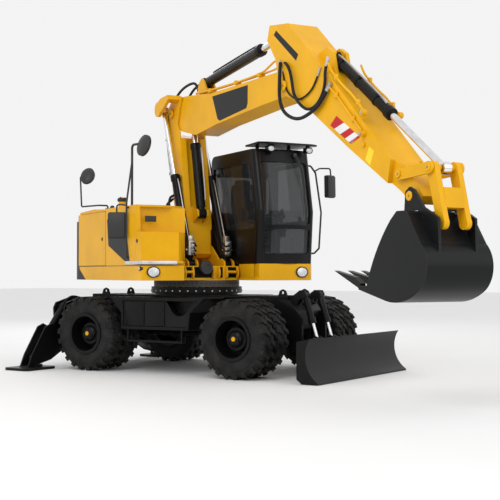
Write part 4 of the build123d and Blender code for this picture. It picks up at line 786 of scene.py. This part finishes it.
def mirror_trim(shape, centre, facing, width, height, depth, oval):
    """Glass, rim and swelling back of one mirror head."""
    place = Matrix.Translation(centre) @ Vector(facing).to_track_quat("Z", "Y").to_matrix().to_4x4()
    back, front = 0.002 - depth, depth - 0.002
    wide, high = width / 2, height / 2
    if oval:
        place = place @ Matrix.Diagonal((wide, high, 1, 1))
        shape.lathe(((0, back - 0.034), (0.55, back - 0.027), (0.88, back - 0.01), (0.97, back), (0, back)),
                    place, 36)
        shape.lathe(((0.92, front), (1.01, front), (1.01, depth + 0.005), (0.93, depth + 0.007)), place, 36)
        shape.lathe(((0, front), (0.91, front), (0.91, depth + 0.002), (0, depth + 0.004)), place, 36, 1)
        return
    shape.box((0.012 - wide, 0.012 - high, back - 0.026), (wide - 0.012, high - 0.012, back), 0.012, 0, place)
    shape.box((0.016 - wide, 0.016 - high, front), (wide - 0.016, high - 0.016, depth + 0.002), 0, 1, place)


class EXCAVATOR_OT_mirrors(bpy.types.Operator):
    """Glass and backs of the mirrors, and the feet of their masts"""

    bl_idname = "excavator.mirrors"
    bl_label = "Mirrors"

    def execute(self, context):
        dress("mirrors", "black_plastic", SMALL_ROUNDING)
        shape = Shape()
        for row in MIRRORS:
            mirror_trim(shape, *row)
        shape.piece("mirror_glass", "upper", "black_plastic", "mirror_face")
        shape = Shape()
        for x, y, half in MAST_FEET:
            shape.box((x - half, y - half, 2.289), (x + half, y + half, 2.3), 0.003)
            for across in SIGNS:
                for forward in SIGNS:
                    spot = (x + across * half * 0.66, y + forward * half * 0.66)
                    shape.rod((*spot, 2.299), (*spot, 2.307), 0.007, 6)
        shape.piece("mast_feet", "upper", "black_paint")
        return {"FINISHED"}


# ---- hood and deck ----
FILLER = (-0.23, -1.06)
HOOD_TOP = 2.288
SEAM_SIDE = (-1.2462, -1.243)     # outer and inner face of the seams on the right side


def hood_top():
    """Filler with its ribbed cap, the small cone and fin beside it, and the exhaust."""
    shape = Shape()
    neck = Matrix.Translation((*FILLER, HOOD_TOP))
    shape.lathe(((0, 0), (0.082, 0), (0.082, 0.012), (0.0565, 0.02), (0.0565, 0.103), (0, 0.103)), neck)
    shape.lathe(((0, 0.1), (0.066, 0.1), (0.068, 0.112), (0.068, 0.146), (0.058, 0.158), (0, 0.16)),
                neck, index=1)
    for x, y in around(16, 0.069):
        x, y = FILLER[0] + x, FILLER[1] + y
        shape.rod((x, y, 2.395), (x, y, 2.432), 0.005, 8, 1)
    cone = Matrix.Translation((-0.46, -1.13, HOOD_TOP))
    shape.lathe(((0, 0), (0.046, 0), (0.022, 0.055), (0, 0.06)), cone, index=1)
    fin = ((-0.42, 2.287), (-0.34, 2.287), (-0.35, 2.43), (-0.38, 2.47), (-0.405, 2.43))
    shape.plate(fin, plane_xz(-1.045), 0.02, 1)
    shape.piece("filler", "upper", "yellow_paint", "black_plastic", rounding=0.002)
    shape = Shape().lathe(
        ((0.049, 0.22), (0.049, 0.342), (0.0625, 0.342), (0.0625, 0.2), (0.07, 0.195), (0.07, 0.165),
         (0.0625, 0.16), (0.0625, 0.06), (0.103, 0.048), (0.103, 0.002), (0.09, 0.002), (0.055, 0.048)),
        Matrix.Translation((-1.05, 0.62, 2.3)))
    shape.piece("exhaust", "hood_lid", "black_paint")


def right_side():
    """Keyholes, seams and a handle on the right side."""
    shape = Shape()
    for x, y, z in ((-0.56, -1.245, 1.86), (0.79, -1.2405, 1.8)):
        shape.lathe(((0, 0), (0.026, 0), (0.026, 0.008), (0.02, 0.013), (0, 0.013)),
                    along((x, y + 0.004, z), (x, y - 0.01, z)), 24)
    shape.piece("locks_right", "upper", "black_plastic")
    shape = Shape()
    for x in (-1.62, -0.425):
        shape.box((x - 0.004, SEAM_SIDE[0], 1.48), (x + 0.004, SEAM_SIDE[1], 2.25))
    shape.box((-1.62, SEAM_SIDE[0], 1.466), (0.7, SEAM_SIDE[1], 1.474))
    shape.piece("right_seams", "upper", "black_plastic")
    shape = Shape().box((0.765, -1.12, 2.06), (0.785, -0.96, 2.14), 0.006)
    shape.piece("box_handle", "upper", "black_plastic")


def tread_strip():
    """Bright tread strip along the foot of the tank box."""
    shape = Shape().box((0.398, -1.2655, 1.486), (0.981, -1.243, 1.5325), 0.003)
    shape.box((0.956, -1.264, 1.486), (0.981, -0.738, 1.5325), 0.003)
    for row in range(12):
        y = -1.225 + row * 0.042
        shape.rod((0.968, y, 1.528), (0.968, y, 1.537), 0.007, 10)
    shape.piece("step_strip", "upper", "step_aluminium")


class EXCAVATOR_OT_hood(bpy.types.Operator):
    """Filler, exhaust, locks, seams and step of the upper structure"""

    bl_idname = "excavator.hood"
    bl_label = "Hood details"

    def execute(self, context):
        hood_top()
        right_side()
        tread_strip()
        return {"FINISHED"}


LAMPS = (
    # middle of the lamp's back, a point it looks at, its half width and half height
    ((0.951, -1.075, 1.384), (1.051, -1.075, 1.384), 0.096, 0.076),
    ((1.236, 1.04, 1.384), (1.336, 1.04, 1.384), 0.096, 0.076),
    ((0.93, 1.243, 1.43), (0.93, 1.35, 1.43), 0.03, 0.03),
    ((0.93, -1.243, 1.43), (0.93, -1.35, 1.43), 0.03, 0.03),
    ((1.196, 0.57, 3.095), (1.296, 0.57, 3.085), 0.058, 0.042),
    ((1.196, 1.18, 3.095), (1.296, 1.18, 3.085), 0.058, 0.042),
)


class EXCAVATOR_OT_lamps(bpy.types.Operator):
    """Lamps on the deck beams and the cab's roof, and reflectors at its sides"""

    bl_idname = "excavator.lamps"
    bl_label = "Lamps"

    def execute(self, context):
        finish_node("deck_lamps", "black_plastic")
        shape = Shape()
        for back, front, wide, high in LAMPS:
            place = along(back, front) @ Matrix.Diagonal((wide, high, 1, 1))
            shape.lathe(((0, -0.02), (0.96, -0.02), (1, 0.012), (1, 0.022), (0.86, 0.026), (0.84, 0.016),
                         (0, 0.016)), place, 32)
            shape.lathe(((0, 0.014), (0.84, 0.014), (0.82, 0.022), (0.45, 0.03), (0, 0.032)), place, 32, 1)
        shape.piece("lamps", "upper", "black_plastic", "lamp_lens")
        return {"FINISHED"}


# ---- cab and deck ----
SEAT_Y = 0.8125
CROWN = 0.022     # how far a cushion's faces swell
CUSHIONS = (
    # name, back, front, half width, foot, top
    ("seat_base", 0.06, 0.58, 0.25, 2, 2.13),
    ("seat_back", -0.04, 0.09, 0.24, 2.13, 2.72),
    ("seat_head", -0.07, 0.02, 0.13, 2.7, 2.79),
)


def cushion(low, high):
    """A crowned pad: a box with rounded edges whose faces swell."""
    shape = Shape()
    centre = (Vector(low) + Vector(high)) / 2
    half = (Vector(high) - Vector(low)) / 2
    bmesh.ops.create_cube(shape.mesh, size=2)
    bmesh.ops.subdivide_edges(shape.mesh, edges=shape.mesh.edges[:], cuts=6, use_grid_fill=True)
    for vert in shape.mesh.verts:
        x, y, z = vert.co
        soft = vert.co * (1 - 0.05 * (abs(x * y) + abs(y * z) + abs(z * x)) ** 2)
        for axis in range(3):
            others = [soft[other] for other in range(3) if other != axis]
            bulge = (1 - others[0] ** 2) * (1 - others[1] ** 2)
            if abs((x, y, z)[axis]) > 0.99:
                soft[axis] *= 1 + CROWN * (max(bulge, 0) - 1) / half[axis]
        vert.co = centre + soft * half
    return shape


def seat():
    """Three cushions on a box with bellows."""
    for name, back, front, half, foot, top in CUSHIONS:
        shape = cushion((back, SEAT_Y - half, foot), (front, SEAT_Y + half, top))
        if name != "seat_base":
            bmesh.ops.transform(shape.mesh, matrix=tilted((0.05, 0, 2.1), -0.16), verts=shape.mesh.verts)
        pad = shape.piece(name, "upper", "seat_fabric", angle=60)
        if name == "seat_base":
            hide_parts("operator_seat")
    shape = Shape().box((0.1, SEAT_Y - 0.21, 1.54), (0.5, SEAT_Y + 0.21, 1.6), 0.012)
    for step in range(5):
        inset, z = 0.004 * step, 1.6 + 0.072 * step
        shape.box((0.13 + inset, SEAT_Y - 0.17 + inset, z),
                  (0.47 - inset, SEAT_Y + 0.17 - inset, z + 0.065), 0.02)
    shape.box((0.08, SEAT_Y - 0.22, 1.96), (0.54, SEAT_Y + 0.22, 2.005), 0.012)
    shape.piece("seat_bellows", "upper", "black_plastic", slot="console_plastic")


def controls():
    """Steering wheel, two levers and two pedals."""
    shape = Shape()
    wheel = Matrix.Translation((0.815, SEAT_Y, 2.155)) @ Matrix.Rotation(-0.34, 4, "Y")
    shape.lathe([(0.17 + x, y) for x, y in around(10, 0.014)], wheel)
    shape.lathe(((0, -0.03), (0.045, -0.03), (0.045, 0.012), (0.03, 0.02), (0, 0.02)), wheel, 28)
    for step in range(3):
        spoke = wheel @ Matrix.Rotation(math.tau * step / 3 + 0.5, 4, "Z")
        shape.box((0.03, -0.014, -0.008), (0.168, 0.014, 0.006), 0.005, 0, spoke)
    for s in SIGNS:
        shape.lathe(((0, 0), (0.034, 0), (0.02, 0.05), (0.011, 0.06), (0.011, 0.11), (0.024, 0.13),
                     (0.028, 0.2), (0.022, 0.24), (0, 0.245)),
                    Matrix.Translation((0.5, SEAT_Y + s * 0.31, 2.07)) @ Matrix.Rotation(0.15, 4, "Y"), 24)
        y = SEAT_Y + s * 0.1
        shape.box((0.8, y - 0.05, 1.545), (1, y + 0.05, 1.565), 0.006, 0, tilted((0.8, 0, 1.545), -0.5))
    shape.piece("controls", "upper", "black_plastic", slot="console_plastic")


def wiper_and_handle():
    """Wiper of the windscreen, and the door's handle and hinges."""
    shape = Shape().rod((1.12, 0.97, 3.02), (1.18, 0.97, 3.02), 0.03, 24)
    for shift in (0, 0.022):
        shape.pipe(((1.178, 0.97 + shift, 3.02), (1.198, 1.02 + shift, 2.9), (1.222, 1.07 + shift, 2.72),
                    (1.236, 1.1, 2.56)), 0.007)
    shape.pipe(((1.162, 1.085, 2.86), (1.22, 1.095, 2.6), (1.256, 1.1, 2.36), (1.283, 1.105, 2.16)), 0.009)
    shape.piece("wiper", "upper", "black_plastic")
    shape = Shape().box((0.8, 1.25, 2.02), (0.84, 1.275, 2.16), 0.008)
    shape.box((0.78, 1.243, 2), (0.86, 1.252, 2.18), 0.003)
    for z in (1.75, 2.8):
        shape.rod((0.094, 1.262, z - 0.05), (0.094, 1.262, z + 0.05), 0.014)
    shape.piece("door_handle", "cab_door", "black_plastic", rounding=0.002)


class EXCAVATOR_OT_cab(bpy.types.Operator):
    """Seat, controls, wiper and door handle of the cab"""

    bl_idname = "excavator.cab"
    bl_label = "Cab details"

    def execute(self, context):
        seat()
        controls()
        wiper_and_handle()
        return {"FINISHED"}


LIFT_RAM_Y = 0.286
VALVE_HEIGHTS = (1.655, 1.725, 1.795)
STACK_Y = -0.575     # outlets of the valve stack beside the boom's foot
STACK_FOOT = 2.02
STACK_PITCH = 0.052
# spans of the pockets on the cross beam, each filled with a dark sheet of painted shade
POCKETS = ((-0.555, -0.475), (-0.445, -0.355), (-0.315, -0.045), (0.045, 0.125), (0.165, 0.335))
WEBS = (-0.475, -0.355, -0.045, 0.045, 0.165, 0.335)
RING_SLEEVE = 0.615


def ram_valves():
    """Valve blocks on the lift rams, with their looped hoses."""
    valves, hoses = Shape(), Shape()
    for s in SIGNS:
        y = s * LIFT_RAM_Y
        valves.box((0.372, y - 0.052, 1.62), (0.462, y + 0.052, 1.83), 0.008)
        valves.box((0.345, y - 0.038, 1.83), (0.42, y + 0.038, 1.9), 0.006)
        for side in (-0.052, 0.052):
            valves.rod((0.417, y + side, 1.7), (0.417, y + side * 1.5, 1.7), 0.018, 6)
        for step, z in enumerate(VALVE_HEIGHTS):
            valves.rod((0.46, y, z), (0.492, y, z), 0.022, 6)
            valves.rod((0.49, y, z), (0.515, y, z), 0.015, 16)
            out = 0.53 + 0.008 * step
            hoses.pipe(((0.51, y, z), (out, y, z), (out, y - s * 0.015, z - 0.04),
                        (0.49, y - s * (0.045 + 0.008 * step), z - 0.05), (0.42, y - s * 0.06, z - 0.02),
                        (0.36, y - s * 0.06, z + 0.02)), sizes().hose * 0.7)
    valves.piece("ram_valves", "lift_barrels", "zinc_steel", rounding=0.002)
    hoses.piece("valve_hoses", "lift_barrels", "hose_rubber")


def valve_stack():
    """Valve stack and its hoses on the deck."""
    valves, hoses = Shape(), Shape()
    valves.box((0.12, -0.56, 1.472), (0.4, -0.42, 1.585), 0.008)
    valves.box((-0.06, -0.66, 1.98), (0.12, -0.53, 2.27), 0.008)
    for x, y in ((0.3, -0.46), (0.2, -0.5), (0.35, -0.52)):
        valves.rod((x, y, 1.58), (x, y, 1.622), 0.026, 6)
    for step in range(5):
        z = STACK_FOOT + STACK_PITCH * step
        valves.rod((0.11, STACK_Y, z), (0.175, STACK_Y, z), 0.02, 16)
        valves.rod((0.17, STACK_Y, z), (0.19, STACK_Y, z), 0.026, 6)
    for step in range(4):
        z, y, out = STACK_FOOT + STACK_PITCH * step, -0.56 + 0.03 * step, 0.02 * step
        hoses.pipe(((0.188, STACK_Y, z), (0.25 + out, -0.57, z), (0.3 + out, y, z - 0.16),
                    (0.32 + out / 2, y, 1.8), (0.34, y, 1.56)), sizes().hose * 0.9)
    valves.piece("deck_valves", "upper", "zinc_steel", rounding=0.002)
    hoses.piece("deck_hoses", "upper", "hose_rubber")


def deck_front():
    """Dark sheets of painted shade in the pockets, and webs and pins on the cross beam in front of the boom's
    foot, its end plate and horn.
    """
    shape = Shape()
    # thin near-black sheets stand for the shade inside the pockets
    for low, high in POCKETS:
        shape.box((0.599, low, 1.305), (0.603, high, 1.455))
    shape.piece("deck_pocket_shade", "upper", "painted_shade_black")
    shape = Shape()
    web = ((0.598, 1.29), (0.64, 1.3), (0.662, 1.345), (0.655, 1.41), (0.625, 1.462), (0.598, 1.466))
    for y in WEBS:
        shape.plate(web, plane_xz(y), 0.022)
    for y in (-0.415, 0.25):
        shape.rod((0.632, y - 0.075, 1.385), (0.632, y + 0.075, 1.385), 0.02)
    shape.piece("deck_webs", "upper", "yellow_paint", rounding=0.003)
    shape = Shape().box((0.602, 0.383, 1.312), (1.053, 0.3895, 1.498), 0.002)
    shape.piece("deck_side_plate", "upper", "yellow_paint")
    shape = Shape().lathe(((0, 0), (0.088, 0), (0.096, 0.01), (0.096, 0.08), (0.086, 0.092), (0.05, 0.092),
                           (0.046, 0.084), (0, 0.084)), along((0.602, -0.16, 1.445), (0.7, -0.16, 1.445)))
    shape.piece("horn_drum", "upper", "black_plastic")


def ring_details():
    """Bolts of the slewing ring's fixed half, and the grey sleeve of its turning half with its holes, drawn
    as near-black studs of painted shade.
    """
    shape = Shape()
    for x, y in around(40, 0.6):
        shape.rod((x, y, 1.176), (x, y, 1.189), 0.013, 6)
    for inner, outer in zip(around(36, 0.645, 0.5), around(36, 0.663, 0.5)):
        shape.rod((*inner, 1.12), (*outer, 1.12), 0.011, 8)
    shape.piece("ring_bolts", "chassis", "zinc_steel", slot="black_paint", place=None)
    inside, outside = RING_SLEEVE - 0.004, RING_SLEEVE + 0.003
    shape = Shape().lathe(((inside, 1.183), (outside, 1.183), (outside, 1.268), (inside, 1.268)), None, 96)
    # the holes: near-black studs of painted shade
    for inner, outer in zip(around(60, RING_SLEEVE), around(60, RING_SLEEVE + 0.0042)):
        shape.rod((*inner, 1.226), (*outer, 1.226), 0.01, 10, 1)
    shape.piece("ring_sleeve", "upper", "ring_grey", "painted_shade_black", place=None)


class EXCAVATOR_OT_plumbing(bpy.types.Operator):
    """Valve blocks, horn and brackets at the foot of the boom, and the slewing ring's bolts"""

    bl_idname = "excavator.plumbing"
    bl_label = "Deck plumbing"

    def execute(self, context):
        ram_valves()
        valve_stack()
        deck_front()
        ring_details()
        return {"FINISHED"}


DOOR_Y = 1.125     # outer face of the tool boxes
STEPS_Y = 1.1


class EXCAVATOR_OT_undercarriage(bpy.types.Operator):
    """Steps, locks, hoses and bolts of the undercarriage"""

    bl_idname = "excavator.undercarriage"
    bl_label = "Undercarriage details"

    def execute(self, context):
        doors, hoses, bolts = Shape(), Shape(), Shape()
        for s in SIGNS:
            y = s * DOOR_Y
            for x in (-0.235, 0.115):
                inner, outer = sorted((y, y + s * 0.01))
                doors.box((x - 0.16, inner, 0.655), (x + 0.16, outer, 0.975), 0.003)
                doors.rod((x + 0.11, y, 0.86), (x + 0.11, y + s * 0.022, 0.86), 0.02)
                hinge = (x - 0.16, y + s * 0.006)
                for z in (0.72, 0.91):
                    doors.rod((*hinge, z - 0.03), (*hinge, z + 0.03), 0.009, 12)
            y = s * STEPS_Y
            for x in (-0.36, 0.56):
                doors.box((x, y - 0.04, 0.44), (x + 0.02, y + 0.04, 0.6), 0.003)
            doors.box((-0.36, y - 0.048, 0.43), (0.58, y + 0.048, 0.455), 0.004)
            hoses.pipe(((1.74, s * 0.11, 0.96), (1.79, s * 0.115, 1), (1.85, s * 0.14, 0.99),
                        (1.89, s * 0.17, 0.95)), 0.014)
            hoses.pipe(((-1.72, s * 0.5, 0.98), (-1.8, s * 0.62, 1.04), (-1.84, s * 0.74, 1),
                        (-1.83, s * 0.86, 0.9)), 0.014)
            for axle in (FRONT_AXLE, REAR_AXLE):
                for across, up in around(10, 0.15):
                    x, z = axle + across, AXLE_HEIGHT + up
                    bolts.rod((x, s * 0.155, z), (x, s * 0.17, z), 0.012, 6)
        doors.piece("box_doors", "chassis", "black_paint", place=None)
        hoses.piece("chassis_hoses", "chassis", "hose_rubber", place=None)
        bolts.piece("axle_bolts", "chassis", "black_paint", place=None)
        return {"FINISHED"}


PINS = (
    # body, x, z, radius, distance of the head from the centre plane
    ("base_boom", -0.42, 3.73, 0.055, 0.228), ("upper_boom", 2.98, 3.62, 0.05, 0.228),
    ("dipper", 5.53, 2.133, 0.04, 0.236), ("upper", 0, 1.7, 0.05, 0.24),
    ("tipping_levers", 5.783, 2.398, 0.034, 0.2), ("dipper", 5.295, 2.371, 0.034, 0.205),
)


class EXCAVATOR_OT_pins(bpy.types.Operator):
    """Pin heads and grease points of the arm"""

    bl_idname = "excavator.pins"
    bl_label = "Pins"

    def execute(self, context):
        for index, (body, x, z, radius, y) in enumerate(PINS):
            profile = ((0, 0), (radius * 1.25, 0), (radius * 1.25, 0.012), (radius * 1.12, 0.018),
                       (radius * 0.35, 0.018), (radius * 0.3, 0.012), (0, 0.012))
            shape = Shape()
            for s in SIGNS:
                shape.lathe(profile, along((x, s * (y - 0.006), z), (x, s * (y + 0.02), z)), 32)
                shape.rod((x, s * (y + 0.004), z), (x, s * (y + 0.02), z), 0.008, 12, 1)
            shape.piece(f"pin_heads_{index}", body, "yellow_paint", "zinc_steel")
        return {"FINISHED"}


# ---- stage ----
FLOOR_HALF = 60
LIGHTS = (
    # name, place, aim, power, size
    ("Key", (3, -13, 11), (1, 0, 1.5), 700, 7),
    ("Fill", (14, -3, 6), (1, 0, 1.5), 200, 8),
    ("Rim", (-8, 9, 9), (0, 0, 1.5), 300, 6),
)


class EXCAVATOR_OT_stage(bpy.types.Operator):
    """Camera, floor and lights"""

    bl_idname = "excavator.stage"
    bl_label = "Stage"

    def execute(self, context):
        scene = context.scene
        lens = bpy.data.cameras.new("Camera")
        lens.lens = 77.47
        lens.sensor_width = 36
        lens.clip_end = 200
        camera = added("Camera", lens)
        camera.location = (9.152, -12.704, 1.371)
        camera.rotation_euler = (math.radians(90 + 1.224), 0, math.radians(32.936))
        scene.camera = camera

        world = bpy.data.worlds.new("Studio")
        world.use_nodes = True
        tint, strength = world.node_tree.nodes["Background"].inputs[:2]
        tint.default_value = (1, 1, 1, 1)
        strength.default_value = 0.9
        scene.world = world

        floor = bmesh.new()
        bmesh.ops.create_grid(floor, x_segments=2, y_segments=2, size=FLOOR_HALF)
        mesh = bpy.data.meshes.new("Floor")
        floor.to_mesh(mesh)
        floor.free()
        pale = Finish("pale_floor")
        tone = pale.mix(pale.noise(0.5), (0.8, 0.8, 0.8, 1), (0.84, 0.84, 0.84, 1))
        pale.set(Base_Color=tone, Roughness=0.8)
        mesh.materials.append(pale.material)
        added("Floor", mesh)

        for name, spot, aim, power, size in LIGHTS:
            light = bpy.data.lights.new(name, "AREA")
            light.energy = power
            light.size = size
            lamp = added(name, light)
            lamp.location = spot
            lamp.rotation_euler = (Vector(spot) - Vector(aim)).to_track_quat("Z", "Y").to_euler()
        scene.view_settings.view_transform = "Standard"
        return {"FINISHED"}


class EXCAVATOR_PT_panel(bpy.types.Panel):
    bl_idname = "EXCAVATOR_PT_panel"
    bl_label = "Excavator"
    bl_space_type = "VIEW_3D"
    bl_region_type = "UI"
    bl_category = "Excavator"

    def draw(self, context):
        for group in (context.scene.excavator_sizes, context.scene.excavator_colours):
            for name in group.bl_rna.properties.keys():
                if name not in ("rna_type", "name"):
                    self.layout.prop(group, name)
        for operator in OPERATORS:
            self.layout.operator(operator.bl_idname)


OPERATORS = (
    EXCAVATOR_OT_stage, EXCAVATOR_OT_hoses, EXCAVATOR_OT_steelwork, EXCAVATOR_OT_tyres, EXCAVATOR_OT_pipes,
    EXCAVATOR_OT_marks, EXCAVATOR_OT_mirrors, EXCAVATOR_OT_hood, EXCAVATOR_OT_lamps, EXCAVATOR_OT_cab,
    EXCAVATOR_OT_plumbing, EXCAVATOR_OT_undercarriage, EXCAVATOR_OT_pins)
CLASSES = (ExcavatorSizes, ExcavatorColours, *OPERATORS, EXCAVATOR_PT_panel)


def register():
    for item in CLASSES:
        bpy.utils.register_class(item)
    bpy.types.Scene.excavator_sizes = bpy.props.PointerProperty(type=ExcavatorSizes)
    bpy.types.Scene.excavator_colours = bpy.props.PointerProperty(type=ExcavatorColours)


def unregister():
    del bpy.types.Scene.excavator_colours
    del bpy.types.Scene.excavator_sizes
    for item in reversed(CLASSES):
        bpy.utils.unregister_class(item)


def main():
    register()
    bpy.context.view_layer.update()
    make_finishes()
    for operator in OPERATORS:
        area, name = operator.bl_idname.split(".")
        getattr(getattr(bpy.ops, area), name)()


if __name__ == "__main__":
    main()
